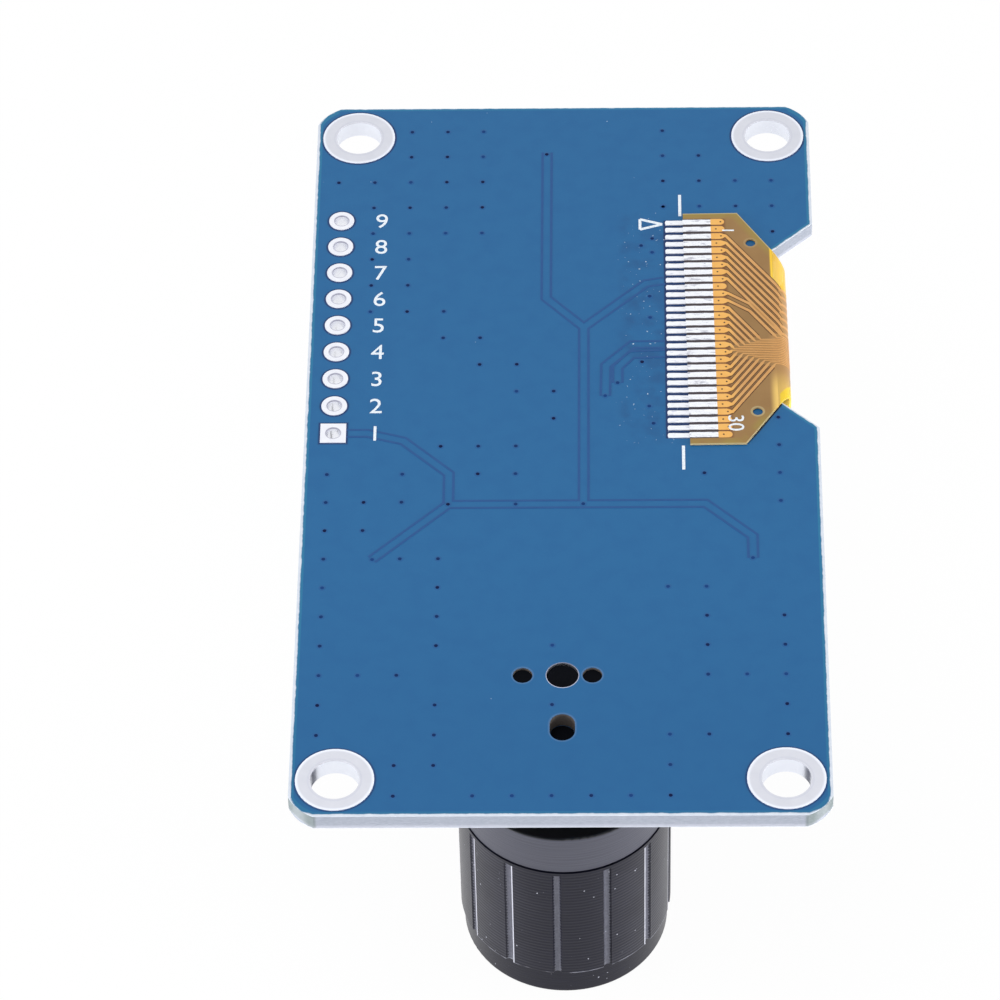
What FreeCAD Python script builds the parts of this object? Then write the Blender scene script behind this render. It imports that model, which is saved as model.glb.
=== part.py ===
import FreeCAD, Part
import math
import os
from types import SimpleNamespace

import Sketcher

# Small OLED display module with a rotary encoder and two push buttons, in millimetres.
# The origin is the middle of the four mounting holes, on the board's back face. +X runs across
# the board towards the notch, +Y away from the encoder, and +Z out of the back face, so the
# display, the knob and the buttons hang below the board, at negative Z.
doc = FreeCAD.newDocument("oled_encoder_module")
sheet = doc.addObject("Spreadsheet::Sheet", "dims")
pieces = []

driving = {
    # printed circuit board
    "board_width": 34.9,
    "board_length": 65.0,
    "board_thickness": 1.2,
    "corner_setback": 1.62,
    "corner_radius": 3.3,
    "notch_centre": 10.95,
    "notch_mouth": 19.5,
    "notch_floor": 14.2,
    "notch_depth": 2.85,
    "hole_inset_x": 2.95,
    "hole_inset_y": 3.0,
    "mount_hole_radius": 1.6,
    "mount_ring_radius": 2.55,
    "plating_wall": 0.05,
    "pad_height": 0.05,
    # header holes along the left edge
    "header_inset": 1.95,
    "header_centre": 11.02,
    "header_pitch": 2.54,
    "header_count": 9,
    "header_hole_radius": 0.5,
    "header_pad_radius": 0.875,
    # holes under the encoder
    "axis_x": 0.1,
    "axis_y": -20.73,
    "boss_radius": 1.0,
    "boss_clearance": 0.05,
    "peg_left": -2.6,
    "peg_right": 1.95,
    "peg_radius": 0.6,
    "peg_clearance": 0.05,
    "peg_recess": 0.2,
    "slot_offset": -4.42,
    "slot_width": 1.65,
    "slot_length": 2.25,
    # display panel
    "panel_centre": 10.8,
    "panel_length": 34.5,
    "panel_side_margin": 5.95,
    "ledge_width": 4.0,
    "tape_thickness": 0.6,
    "tape_margin": 1.2,
    "rear_glass_thickness": 0.5,
    "front_glass_thickness": 0.7,
    "polariser_thickness": 0.2,
    "polariser_margin": 0.4,
    "chip_inset": 0.6,
    "chip_width": 1.2,
    "chip_length": 8.6,
    "chip_thickness": 0.3,
    # folded flex circuit
    "flex_centre": 10.64,
    "flex_skew": 0.7,
    "flex_width": 22.0,
    "flex_thickness": 0.12,
    "flex_back_reach": 6.06,
    "flex_front_reach": 4.7,
    "flex_overhang": 0.94,
    "flex_fold_radius": 0.87,
    "flex_shoulder": 2.27,
    "flex_neck_top": 5.85,
    "flex_neck_bottom": -6.15,
    "flex_hole_radius": 0.35,
    "flex_hole_inset": 1.41,
    "flex_hole_spread": 16.1,
    "pad_row_centre": 10.62,
    "pad_pitch": 0.7,
    "pad_count": 30,
    "pad_width": 0.38,
    "pad_length": 3.1,
    "pad_exposed": 1.35,
    # rotary encoder, heights from the board's front face
    "encoder_width": 11.8,
    "encoder_depth": 12.4,
    "base_chamfer": 0.8,
    "base_height": 5.2,
    "cavity_radius": 4.85,
    "cavity_floor": 1.7,
    "well_radius": 2.8,
    "well_floor": 0.6,
    "top_plate": 0.9,
    "bracket_sheet": 0.4,
    "bracket_depth": 9.0,
    "bracket_foot": 1.0,
    "bracket_window": 3.2,
    "bracket_window_height": 3.0,
    "bushing_radius": 3.5,
    "bushing_height": 5.0,
    "bushing_chamfer": 0.4,
    "shaft_radius": 3.0,
    "shaft_clearance": 0.05,
    "shaft_length": 15.0,
    "shaft_chamfer": 0.5,
    "shaft_flat": 1.5,
    "shaft_flat_length": 7.0,
    "shaft_flange_radius": 3.5,
    "shaft_flange": 0.5,
    "stem_radius": 2.2,
    "stem_flat": 1.7,
    "stem_chamfer": 0.5,
    "push_travel": 0.5,
    "running_gap": 0.05,
    "stop_gap": 0.2,
    "rotor_gap": 0.15,
    "disc_bottom": 2.2,
    "disc_thickness": 1.1,
    "rim_width": 0.9,
    "rim_top": 4.7,
    "hub_radius": 3.2,
    "detent_count": 20,
    "detent_radius": 0.25,
    "detent_depth": 0.05,
    "spring_thickness": 0.15,
    "code_disc_thickness": 0.12,
    "code_window_length": 1.0,
    "code_window_width": 0.6,
    "wiper_thickness": 0.12,
    "wiper_width": 0.6,
    "wiper_count": 3,
    "dome_radius": 2.1,
    "dome_height": 0.7,
    "dome_thickness": 0.1,
    "lead_width": 0.9,
    "lead_thickness": 0.3,
    "lead_exit": 0.8,
    "lead_inset": 0.8,
    "lead_stand": 0.5,
    "lead_reach": 1.8,
    "lead_spacing": 2.5,
    # knob, heights from the board's front face
    "knob_radius": 7.13,
    "knob_wall": 0.5,
    "knob_clearance": 0.05,
    "knob_end_thickness": 1.15,
    "knob_cap_gap": 0.05,
    "knob_edge": 0.35,
    "knob_band_inset": 0.23,
    "collar_height": 3.43,
    "collar_edge": 0.2,
    "collar_gap": 0.7,
    "collar_inset": 0.08,
    "collar_mouth_gap": 0.12,
    "insert_wall": 1.15,
    "insert_roof": 1.0,
    "insert_hub_radius": 4.3,
    "insert_rib_count": 6,
    "insert_rib": 0.8,
    "bore_clearance": 0.03,
    "flute_count": 13,
    "flute_radius": 0.3,
    "flute_stand": 0.08,
    "flute_start": 0.27,
    "flute_length": 10.4,
    "flute_angle": 94.1,
    # push buttons, heights from the board's front face
    "button_x": 12.0,
    "button_y": -16.2,
    "button_size": 6.0,
    "button_base_height": 2.9,
    "button_chamfer": 0.5,
    "button_cavity_radius": 2.35,
    "button_floor": 0.7,
    "button_cover": 0.25,
    "button_skirt_width": 3.2,
    "button_skirt_drop": 1.4,
    "button_post_radius": 0.45,
    "button_post_inset": 0.6,
    "button_post_rise": 0.2,
    "plunger_radius": 1.75,
    "plunger_clearance": 0.1,
    "plunger_height": 5.0,
    "plunger_edge": 0.25,
    "plunger_flange": 0.5,
    "plunger_flange_gap": 0.15,
    "plunger_nub_radius": 1.0,
    "button_dome_radius": 2.0,
    "button_dome_height": 0.65,
    "button_lead_width": 0.7,
    "button_lead_thickness": 0.2,
    "button_lead_exit": 0.6,
    "button_lead_inset": 0.4,
    "button_lead_stand": 0.4,
    "button_lead_reach": 1.4,
    "button_lead_spacing": 4.5,
    # chip parts between the display and the encoder
    "part_row_start": -6.5,
    "resistor_row": -8.4,
    "resistor_pitch": 1.8,
    "resistor_count": 6,
    "resistor_length": 1.6,
    "resistor_width": 0.8,
    "resistor_height": 0.45,
    "capacitor_row": -10.9,
    "capacitor_pitch": 2.2,
    "capacitor_count": 5,
    "capacitor_length": 2.0,
    "capacitor_width": 1.25,
    "capacitor_height": 0.9,
    "end_cap_length": 0.35,
    "regulator_x": 8.6,
    "regulator_y": -9.9,
    "regulator_length": 2.9,
    "regulator_width": 1.6,
    "regulator_height": 1.0,
    "regulator_standoff": 0.1,
    "regulator_lead_width": 0.4,
    "regulator_lead_thickness": 0.15,
    "regulator_lead_exit": 0.45,
    "regulator_lead_reach": 0.65,
    "regulator_lead_stand": 0.25,
    "regulator_lead_pitch": 0.95,
}


class Size:
    """A size as an expression of sheet cells, with the value that it has now."""

    def __init__(self, text, value):
        self.text = text
        self.value = value

    def __add__(self, other):
        return joined(self, "+", other)

    def __radd__(self, other):
        return joined(other, "+", self)

    def __sub__(self, other):
        return joined(self, "-", other)

    def __rsub__(self, other):
        return joined(other, "-", self)

    def __mul__(self, other):
        return joined(self, "*", other)

    def __rmul__(self, other):
        return joined(other, "*", self)

    def __truediv__(self, other):
        return joined(self, "/", other)

    def __neg__(self):
        return joined(0, "-", self)


OPERATIONS = {
    "+": lambda left, right: left + right,
    "-": lambda left, right: left - right,
    "*": lambda left, right: left * right,
    "/": lambda left, right: left / right,
}


def sized(number):
    return number if isinstance(number, Size) else Size(repr(number), number)


def joined(left, sign, right):
    left, right = sized(left), sized(right)
    text = f"({left.text} {sign} {right.text})"
    return Size(text, OPERATIONS[sign](left.value, right.value))


def root(number):
    return Size(f"sqrt({number.text})", math.sqrt(number.value))


def cosine(angle):
    return Size(f"cos({angle.text})", math.cos(math.radians(angle.value)))


def sine(angle):
    return Size(f"sin({angle.text})", math.sin(math.radians(angle.value)))


def bind(target, path, length):
    target.setExpression(path, sized(length).text)


for row, (alias, number) in enumerate(driving.items(), start=1):
    sheet.set(f"A{row}", alias)
    sheet.set(f"B{row}", str(number))
    sheet.setAlias(f"B{row}", alias)
doc.recompute()
size = SimpleNamespace(**{alias: Size(f"dims.{alias}", number) for alias, number in driving.items()})


# Bodies, sketches and features


def origin_feature(body, role):
    return next(feature for feature in body.Origin.OriginFeatures if feature.Role == role)


def new_body(label, x=0, y=0, z=0):
    """A body that stands the way the board's frame does."""
    body = doc.addObject("PartDesign::Body", label)
    body.Label = label
    for axis, place in zip("xyz", (x, y, z)):
        bind(body, f"Placement.Base.{axis}", place)
    pieces.append(body)
    return body


def front_body(label, x, y):
    """A body modelled upwards from the board's front face, which looks down: its Y is turned too."""
    body = new_body(label, x, y, -size.board_thickness)
    body.Placement = FreeCAD.Placement(FreeCAD.Vector(), FreeCAD.Rotation(FreeCAD.Vector(1, 0, 0), 180))
    return body


def new_sketch(body, plane="XY_Plane", lift=0):
    sketch = body.newObject("Sketcher::SketchObject", f"{body.Label}_sketch")
    sketch.AttachmentSupport = [(origin_feature(body, plane), "")]
    sketch.MapMode = "FlatFace"
    bind(sketch, "AttachmentOffset.Base.z", lift)
    return sketch


def join(sketch, kind, *parts):
    """Adds a constraint without a size."""
    sketch.addConstraint(Sketcher.Constraint(kind, *parts))


def drive(sketch, kind, *parts):
    """Adds a dimension. Its last part is the size that drives it."""
    *geometry, length = parts
    length = sized(length)
    index = sketch.addConstraint(Sketcher.Constraint(kind, *geometry, float(length.value)))
    bind(sketch, f"Constraints[{index}]", length)


def hold(sketch, geometry, point, x, y):
    """Holds one point of a geometry at x, y from the sketch's origin."""
    drive(sketch, "DistanceX", -1, 1, geometry, point, x)
    drive(sketch, "DistanceY", -1, 1, geometry, point, y)


def circle(sketch, x, y, radius):
    centre = FreeCAD.Vector(sized(x).value, sized(y).value, 0)
    shape = Part.Circle(centre, FreeCAD.Vector(0, 0, 1), sized(radius).value)
    geometry = sketch.addGeometry(shape, False)
    hold(sketch, geometry, 3, x, y)
    drive(sketch, "Radius", geometry, radius)


def arc_shape(start, end, radius):
    """The short arc from start to end; a positive radius turns left. Also its end points' numbers."""
    chord = end - start
    rise = math.sqrt(max(radius ** 2 - chord.Length ** 2 / 4, 0))
    left = FreeCAD.Vector(-chord.y, chord.x, 0).normalize()
    centre = (start + end) / 2 + left * math.copysign(rise, radius)
    turned = Part.Circle(centre, FreeCAD.Vector(0, 0, 1), abs(radius))
    angles = [math.atan2(point.y - centre.y, point.x - centre.x) for point in (start, end)]
    if radius > 0:
        return Part.ArcOfCircle(turned, *angles), 1, 2
    return Part.ArcOfCircle(turned, *reversed(angles)), 2, 1


def outline(sketch, corners):
    """Draws a closed outline. A corner's third value is the radius of the arc that starts there."""
    corners = [tuple(sized(value) for value in corner) for corner in corners]
    drawn = []
    for corner, following in zip(corners, corners[1:] + corners[:1]):
        start = FreeCAD.Vector(corner[0].value, corner[1].value, 0)
        end = FreeCAD.Vector(following[0].value, following[1].value, 0)
        if len(corner) == 3:
            shape, first, last = arc_shape(start, end, corner[2].value)
        else:
            shape, first, last = Part.LineSegment(start, end), 1, 2
        geometry = sketch.addGeometry(shape, False)
        hold(sketch, geometry, first, corner[0], corner[1])
        drawn.append((geometry, first, last))
    for (geometry, _, last), (next_geometry, first, _) in zip(drawn, drawn[1:] + drawn[:1]):
        join(sketch, "Coincident", geometry, last, next_geometry, first)
    for (geometry, first, _), corner in zip(drawn, corners):
        if len(corner) == 3:
            radius = corner[2] if first == 1 else -corner[2]
            drive(sketch, "Radius", geometry, radius)


def rectangle(sketch, low_x, low_y, high_x, high_y):
    outline(sketch, [(low_x, low_y), (high_x, low_y), (high_x, high_y), (low_x, high_y)])


def chamfered_rectangle(sketch, width, depth, chamfer):
    across, along = width / 2, depth / 2
    outline(sketch, [
        (-across + chamfer, -along), (across - chamfer, -along),
        (across, -along + chamfer), (across, along - chamfer),
        (across - chamfer, along), (-across + chamfer, along),
        (-across, along - chamfer), (-across, -along + chamfer),
    ])


def slot_along_y(sketch, x, y, width, length):
    """A slot with round ends: two equal arcs joined by tangent lines."""
    radius, half = width / 2, (length - width) / 2
    up = FreeCAD.Vector(0, 0, 1)
    top = FreeCAD.Vector(sized(x).value, (sized(y) + half).value, 0)
    low = FreeCAD.Vector(sized(x).value, (sized(y) - half).value, 0)
    side = FreeCAD.Vector(radius.value, 0, 0)
    top_round = Part.Circle(top, up, radius.value)
    low_round = Part.Circle(low, up, radius.value)
    top_arc = sketch.addGeometry(Part.ArcOfCircle(top_round, 0, math.pi), False)
    low_arc = sketch.addGeometry(Part.ArcOfCircle(low_round, math.pi, 2 * math.pi), False)
    left = sketch.addGeometry(Part.LineSegment(top - side, low - side), False)
    right = sketch.addGeometry(Part.LineSegment(low + side, top + side), False)
    for first, second in ((top_arc, left), (left, low_arc), (low_arc, right), (right, top_arc)):
        join(sketch, "Tangent", first, 2, second, 1)
    join(sketch, "Equal", top_arc, low_arc)
    hold(sketch, top_arc, 3, x, sized(y) + half)
    hold(sketch, low_arc, 3, x, sized(y) - half)
    drive(sketch, "Radius", top_arc, radius)


def d_outline(sketch, radius, flat):
    """A circle about the origin with one flat across it, at flat above the origin."""
    angle = math.asin(flat.value / radius.value)
    round_part = Part.Circle(FreeCAD.Vector(), FreeCAD.Vector(0, 0, 1), radius.value)
    arc = sketch.addGeometry(Part.ArcOfCircle(round_part, math.pi - angle, 2 * math.pi + angle), False)
    reach = radius.value * math.cos(angle)
    ends = [FreeCAD.Vector(sign * reach, flat.value, 0) for sign in (1, -1)]
    line = sketch.addGeometry(Part.LineSegment(*ends), False)
    join(sketch, "Coincident", arc, 3, -1, 1)
    join(sketch, "Coincident", arc, 2, line, 1)
    join(sketch, "Coincident", line, 2, arc, 1)
    join(sketch, "Horizontal", line)
    drive(sketch, "Radius", arc, radius)
    drive(sketch, "DistanceY", -1, 1, line, 1, flat)


def double_d_outline(sketch, radius, flat):
    """A circle about the origin with two flats across it, at flat above and below the origin."""
    angle = math.asin(flat.value / radius.value)
    round_part = Part.Circle(FreeCAD.Vector(), FreeCAD.Vector(0, 0, 1), radius.value)
    right = sketch.addGeometry(Part.ArcOfCircle(round_part, -angle, angle), False)
    left = sketch.addGeometry(Part.ArcOfCircle(round_part, math.pi - angle, math.pi + angle), False)
    reach = FreeCAD.Vector(radius.value * math.cos(angle), 0, 0)
    high = FreeCAD.Vector(0, flat.value, 0)
    top = sketch.addGeometry(Part.LineSegment(high + reach, high - reach), False)
    low = sketch.addGeometry(Part.LineSegment(-high - reach, -high + reach), False)
    for first, second in ((right, top), (top, left), (left, low), (low, right)):
        join(sketch, "Coincident", first, 2, second, 1)
    for arc in (right, left):
        join(sketch, "Coincident", arc, 3, -1, 1)
    join(sketch, "Equal", right, left)
    drive(sketch, "Radius", right, radius)
    for line, height in ((top, flat), (low, -flat)):
        join(sketch, "Horizontal", line)
        drive(sketch, "DistanceY", -1, 1, line, 1, height)


def pad(body, sketch, length, reverse=False, symmetric=False):
    feature = body.newObject("PartDesign::Pad", f"{body.Label}_pad")
    feature.Profile = sketch
    feature.Reversed = reverse
    feature.SideType = "Symmetric" if symmetric else "One side"
    bind(feature, "Length", length)
    return feature


def pocket(body, sketch, length=None, reverse=False, symmetric=False):
    """Cuts away from the sketch's normal, or along it if reversed; without a length it cuts through."""
    feature = body.newObject("PartDesign::Pocket", f"{body.Label}_pocket")
    feature.Profile = sketch
    feature.Reversed = reverse
    feature.SideType = "Symmetric" if symmetric else "One side"
    if length is None:
        feature.Type = "ThroughAll"
    else:
        bind(feature, "Length", length)
    return feature


def turned(body, corners):
    """Turns an outline of radius and height about the body's Z axis."""
    sketch = new_sketch(body, "XZ_Plane")
    outline(sketch, corners)
    feature = body.newObject("PartDesign::Revolution", f"{body.Label}_turned")
    feature.Profile = sketch
    feature.ReferenceAxis = (sketch, ["V_Axis"])
    feature.Angle = 360
    return feature


def in_line(body, feature, axis, spacing, count, across=None):
    """Repeats a feature along an axis, and along a second one if across gives its spacing and count."""
    pattern = body.newObject("PartDesign::LinearPattern", f"{body.Label}_row")
    pattern.Originals = [feature]
    pattern.Direction = (origin_feature(body, axis), [""])
    bind(pattern, "Length", spacing * (sized(count) - 1))
    bind(pattern, "Occurrences", count)
    if across:
        second_axis, second_spacing, second_count = across
        pattern.Direction2 = (origin_feature(body, second_axis), [""])
        bind(pattern, "Length2", second_spacing * (sized(second_count) - 1))
        bind(pattern, "Occurrences2", second_count)
    body.Tip = pattern
    return pattern


def around(body, feature, count):
    pattern = body.newObject("PartDesign::PolarPattern", f"{body.Label}_ring")
    pattern.Originals = [feature]
    pattern.Axis = (origin_feature(body, "Z_Axis"), [""])
    pattern.Angle = 360
    bind(pattern, "Occurrences", count)
    body.Tip = pattern
    return pattern


def plate(label, low, spans):
    """A plain rectangular plate from its low corner and its spans."""
    box = doc.addObject("Part::Box", label)
    box.Label = label
    for axis, place in zip("xyz", low):
        bind(box, f"Placement.Base.{axis}", place)
    for name, span in zip(("Length", "Width", "Height"), spans):
        bind(box, name, span)
    pieces.append(box)
    return box


# Places that several pieces share

half_width = size.board_width / 2
half_length = size.board_length / 2
notch_edge = half_width - size.notch_depth
hole_x = half_width - size.hole_inset_x
hole_y = half_length - size.hole_inset_y
header_x = size.header_inset - half_width
peg_hole_radius = size.peg_radius + size.peg_clearance
boss_ring_bore = size.boss_radius + size.boss_clearance
boss_hole_radius = boss_ring_bore + size.plating_wall
header_low = size.header_centre - size.header_pitch * (size.header_count - 1) / 2
panel_back = -size.board_thickness - size.tape_thickness
ledge_face = panel_back - size.rear_glass_thickness
panel_width = size.board_width - 2 * size.panel_side_margin
panel_left = -panel_width / 2
panel_low = size.panel_centre - size.panel_length / 2
rear_glass_width = panel_width - size.ledge_width
housing_height = size.base_height + size.top_plate + size.bracket_sheet
bushing_top = housing_height + size.bushing_height
shaft_top = housing_height + size.shaft_length
collar_end = housing_height + size.collar_gap
shell_mouth = collar_end + size.collar_height
insert_roof_top = shaft_top + size.running_gap + size.insert_roof
insert_bore_end = shaft_top + size.running_gap
knob_end = insert_roof_top + size.knob_cap_gap + size.knob_end_thickness
insert_radius = size.knob_radius - size.knob_wall - size.knob_clearance


# Circuit board: a routed outline with a notch for the flex, and its drilled holes


def circuit_board():
    body = new_body("circuit_board")
    set_in, bend = size.corner_setback, size.corner_radius
    notch_low = size.notch_centre - size.notch_mouth / 2
    notch_high = size.notch_centre + size.notch_mouth / 2
    floor_low = size.notch_centre - size.notch_floor / 2
    floor_high = size.notch_centre + size.notch_floor / 2
    sketch = new_sketch(body)
    outline(sketch, [
        (-half_width + set_in, -half_length),
        (half_width - set_in, -half_length, bend),
        (half_width, -half_length + set_in),
        (half_width, notch_low),
        (notch_edge, floor_low),
        (notch_edge, floor_high),
        (half_width, notch_high),
        (half_width, half_length - set_in, bend),
        (half_width - set_in, half_length),
        (-half_width + set_in, half_length, bend),
        (-half_width, half_length - set_in),
        (-half_width, -half_length + set_in, bend),
    ])
    pad(body, sketch, size.board_thickness, reverse=True)

    sketch = new_sketch(body)
    drilled = size.mount_hole_radius + size.plating_wall
    circle(sketch, -hole_x, -hole_y, drilled)
    in_line(body, pocket(body, sketch), "X_Axis", 2 * hole_x, 2, across=("Y_Axis", 2 * hole_y, 2))

    sketch = new_sketch(body)
    circle(sketch, header_x, header_low, size.header_hole_radius + size.plating_wall)
    in_line(body, pocket(body, sketch), "Y_Axis", size.header_pitch, size.header_count)

    sketch = new_sketch(body)
    circle(sketch, size.axis_x, size.axis_y, boss_hole_radius)
    circle(sketch, size.axis_x + size.peg_left, size.axis_y, peg_hole_radius)
    circle(sketch, size.axis_x + size.peg_right, size.axis_y, peg_hole_radius)
    slot_along_y(sketch, size.axis_x, size.axis_y + size.slot_offset, size.slot_width, size.slot_length)
    body.Tip = pocket(body, sketch)


# Plated holes: a thin tinned sleeve through the board with a flat ring on each face


def sleeve(body, bore, ring):
    outer = bore + size.plating_wall
    low, lip = -size.board_thickness, size.pad_height
    return turned(body, [
        (bore, low - lip), (ring, low - lip), (ring, low), (outer, low),
        (outer, 0), (ring, 0), (ring, lip), (bore, lip),
    ])


def board_mount_plating():
    body = new_body("board_mount_plating", -hole_x, -hole_y)
    ring = sleeve(body, size.mount_hole_radius, size.mount_ring_radius)
    in_line(body, ring, "X_Axis", 2 * hole_x, 2, across=("Y_Axis", 2 * hole_y, 2))


def board_header_plating():
    """Round pads, and square ones at the hole nearest the encoder."""
    body = new_body("board_header_plating", header_x, header_low)
    ring = sleeve(body, size.header_hole_radius, size.header_pad_radius)
    in_line(body, ring, "Y_Axis", size.header_pitch, size.header_count)
    edge = size.header_pad_radius
    for face, away in ((0, False), (-size.board_thickness, True)):
        sketch = new_sketch(body, lift=face)
        rectangle(sketch, -edge, -edge, edge, edge)
        circle(sketch, 0, 0, size.header_hole_radius)
        body.Tip = pad(body, sketch, size.pad_height, reverse=away)


def encoder_hole_ring():
    body = new_body("encoder_hole_ring", size.axis_x, size.axis_y)
    turned(body, [
        (boss_ring_bore, -size.board_thickness), (boss_hole_radius, -size.board_thickness),
        (boss_hole_radius, 0), (boss_ring_bore, 0),
    ])


def display_solder_pads():
    low = size.pad_row_centre - size.pad_pitch * (size.pad_count - 1) / 2
    left = notch_edge - size.flex_back_reach - size.pad_exposed
    body = new_body("display_solder_pads", left, low)
    sketch = new_sketch(body)
    rectangle(sketch, 0, -size.pad_width / 2, size.pad_length, size.pad_width / 2)
    in_line(body, pad(body, sketch, size.pad_height), "Y_Axis", size.pad_pitch, size.pad_count)


# Display panel: two glass plates taped to the board's front, with a ledge for its chip and flex


def display_panel():
    inner_length = size.panel_length - 2 * size.tape_margin
    plate("display_tape",
          (panel_left + size.tape_margin, panel_low + size.tape_margin, panel_back),
          (rear_glass_width - 2 * size.tape_margin, inner_length, size.tape_thickness))
    plate("display_rear_glass",
          (panel_left, panel_low, ledge_face),
          (rear_glass_width, size.panel_length, size.rear_glass_thickness))
    plate("display_front_glass",
          (panel_left, panel_low, ledge_face - size.front_glass_thickness),
          (panel_width, size.panel_length, size.front_glass_thickness))
    film_face = ledge_face - size.front_glass_thickness - size.polariser_thickness
    margin = size.polariser_margin
    plate("display_polariser",
          (panel_left + margin, panel_low + margin, film_face),
          (rear_glass_width, size.panel_length - 2 * margin, size.polariser_thickness))
    chip_left = panel_left + rear_glass_width + size.chip_inset
    plate("display_driver_chip",
          (chip_left, size.panel_centre - size.chip_length / 2, ledge_face),
          (size.chip_width, size.chip_length, size.chip_thickness))


# Flex circuit: one film from the glass ledge, round the notch, to the pads on the back face


def display_flex():
    body = new_body("display_flex", notch_edge, size.flex_centre)
    bind(body, "Placement.Rotation.Angle", size.flex_skew)
    film, bend = size.flex_thickness, size.flex_fold_radius
    inside = bend - film
    top = size.pad_height + film
    low = ledge_face
    tip = size.flex_overhang
    straight = tip - bend
    sketch = new_sketch(body, "XZ_Plane")
    outline(sketch, [
        (-size.flex_front_reach, low), (straight, low, bend), (tip, low + bend), (tip, top - bend, bend),
        (straight, top), (-size.flex_back_reach, top), (-size.flex_back_reach, top - film),
        (straight, top - film, -inside), (tip - film, top - bend), (tip - film, low + bend, -inside),
        (straight, low + film), (-size.flex_front_reach, low + film),
    ])
    pad(body, sketch, size.flex_width, symmetric=True)

    half = size.flex_width / 2
    beyond = half + 1
    past = tip + 1
    sketch = new_sketch(body, lift=top)
    for edge, neck in ((half, size.flex_neck_top), (-half, size.flex_neck_bottom)):
        outer = beyond if edge is half else -beyond
        outline(sketch, [(-size.flex_shoulder, edge), (tip, neck), (past, neck), (past, outer),
                         (-size.flex_shoulder, outer)])
    pocket(body, sketch)

    sketch = new_sketch(body, lift=low + bend)
    far = size.flex_front_reach + 1
    rectangle(sketch, -far, size.flex_neck_top, past, beyond)
    rectangle(sketch, -far, -beyond, past, size.flex_neck_bottom)
    pocket(body, sketch)

    sketch = new_sketch(body, lift=top)
    for side in (-1, 1):
        circle(sketch, -size.flex_hole_inset, side * size.flex_hole_spread / 2, size.flex_hole_radius)
    body.Tip = pocket(body, sketch, 2 * film)


# Rotary encoder: a moulded base, a die-cast top with its bushing, and a sheet metal bracket


def encoder_body(label):
    return front_body(label, size.axis_x, size.axis_y)


def lead_outline(sketch, side, face, exit_height, thickness, inset, stand, reach):
    """A gull-wing lead in section: out of the moulding, down, and along the board."""
    points = [
        (face - inset, exit_height), (face + stand - thickness, exit_height),
        (face + stand - thickness, 0), (face + reach, 0), (face + reach, thickness),
        (face + stand, thickness), (face + stand, exit_height + thickness),
        (face - inset, exit_height + thickness),
    ]
    if side < 0:
        points = [(-x, y) for x, y in reversed(points)]
    outline(sketch, points)


def encoder_base():
    body = encoder_body("encoder_base")
    sketch = new_sketch(body)
    chamfered_rectangle(sketch, size.encoder_width, size.encoder_depth, size.base_chamfer)
    pad(body, sketch, size.base_height)
    sketch = new_sketch(body, lift=size.base_height)
    circle(sketch, 0, 0, size.cavity_radius)
    pocket(body, sketch, size.base_height - size.cavity_floor)
    sketch = new_sketch(body, lift=size.cavity_floor)
    circle(sketch, 0, 0, size.well_radius)
    pocket(body, sketch, size.cavity_floor - size.well_floor)
    sketch = new_sketch(body)
    circle(sketch, 0, 0, size.boss_radius)
    circle(sketch, size.peg_left, 0, size.peg_radius)
    circle(sketch, size.peg_right, 0, size.peg_radius)
    pad(body, sketch, size.board_thickness - size.peg_recess, reverse=True)
    # slots that hold the leads
    sketch = new_sketch(body, lift=size.lead_exit + size.lead_thickness)
    face, half = size.encoder_depth / 2, size.lead_width / 2
    for step in (-1, 0, 1):
        x = step * size.lead_spacing
        rectangle(sketch, x - half, face - size.lead_inset, x + half, face)
    for step in (-1, 1):
        x = step * size.lead_spacing
        rectangle(sketch, x - half, -face, x + half, size.lead_inset - face)
    body.Tip = pocket(body, sketch, size.lead_thickness)


def encoder_terminals():
    """Three leads for the turning contacts and two, on the other side, for the push switch."""
    body = encoder_body("encoder_terminals")
    profile = (size.encoder_depth / 2, size.lead_exit, size.lead_thickness,
               size.lead_inset, size.lead_stand, size.lead_reach)
    for side, spacing, count in ((1, size.lead_spacing, 3), (-1, 2 * size.lead_spacing, 2)):
        sketch = new_sketch(body, "YZ_Plane", lift=-size.lead_spacing)
        lead_outline(sketch, side, *profile)
        lead = pad(body, sketch, size.lead_width, symmetric=True)
        in_line(body, lead, "X_Axis", spacing, count)


def encoder_bushing():
    body = encoder_body("encoder_bushing")
    bore = size.shaft_radius + size.shaft_clearance
    edge = size.bushing_chamfer
    sketch = new_sketch(body, lift=size.base_height)
    chamfered_rectangle(sketch, size.encoder_width, size.encoder_depth, size.base_chamfer)
    circle(sketch, 0, 0, bore)
    pad(body, sketch, size.top_plate)
    turned(body, [
        (bore, size.base_height), (size.bushing_radius, size.base_height),
        (size.bushing_radius, bushing_top - edge), (size.bushing_radius - edge, bushing_top),
        (bore, bushing_top),
    ])


def encoder_bracket():
    """A strap folded over the top and down both sides, with feet soldered to the board."""
    body = encoder_body("encoder_bracket")
    thick = size.bracket_sheet
    inner = size.encoder_width / 2
    outer = inner + thick
    foot = outer + size.bracket_foot
    top = housing_height
    sketch = new_sketch(body, "XZ_Plane")
    outline(sketch, [
        (-foot, 0), (-inner, 0), (-inner, top - thick), (inner, top - thick), (inner, 0), (foot, 0),
        (foot, thick), (outer, thick), (outer, top - thick, thick), (outer - thick, top),
        (thick - outer, top, thick), (-outer, top - thick), (-outer, thick), (-foot, thick),
    ])
    pad(body, sketch, size.bracket_depth, symmetric=True)
    sketch = new_sketch(body, lift=top)
    circle(sketch, 0, 0, size.bushing_radius + size.running_gap)
    pocket(body, sketch, thick)
    sketch = new_sketch(body, "YZ_Plane")
    half = size.bracket_window / 2
    rectangle(sketch, -half, 0, half, size.bracket_window_height)
    body.Tip = pocket(body, sketch, 2 * foot, symmetric=True)


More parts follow.
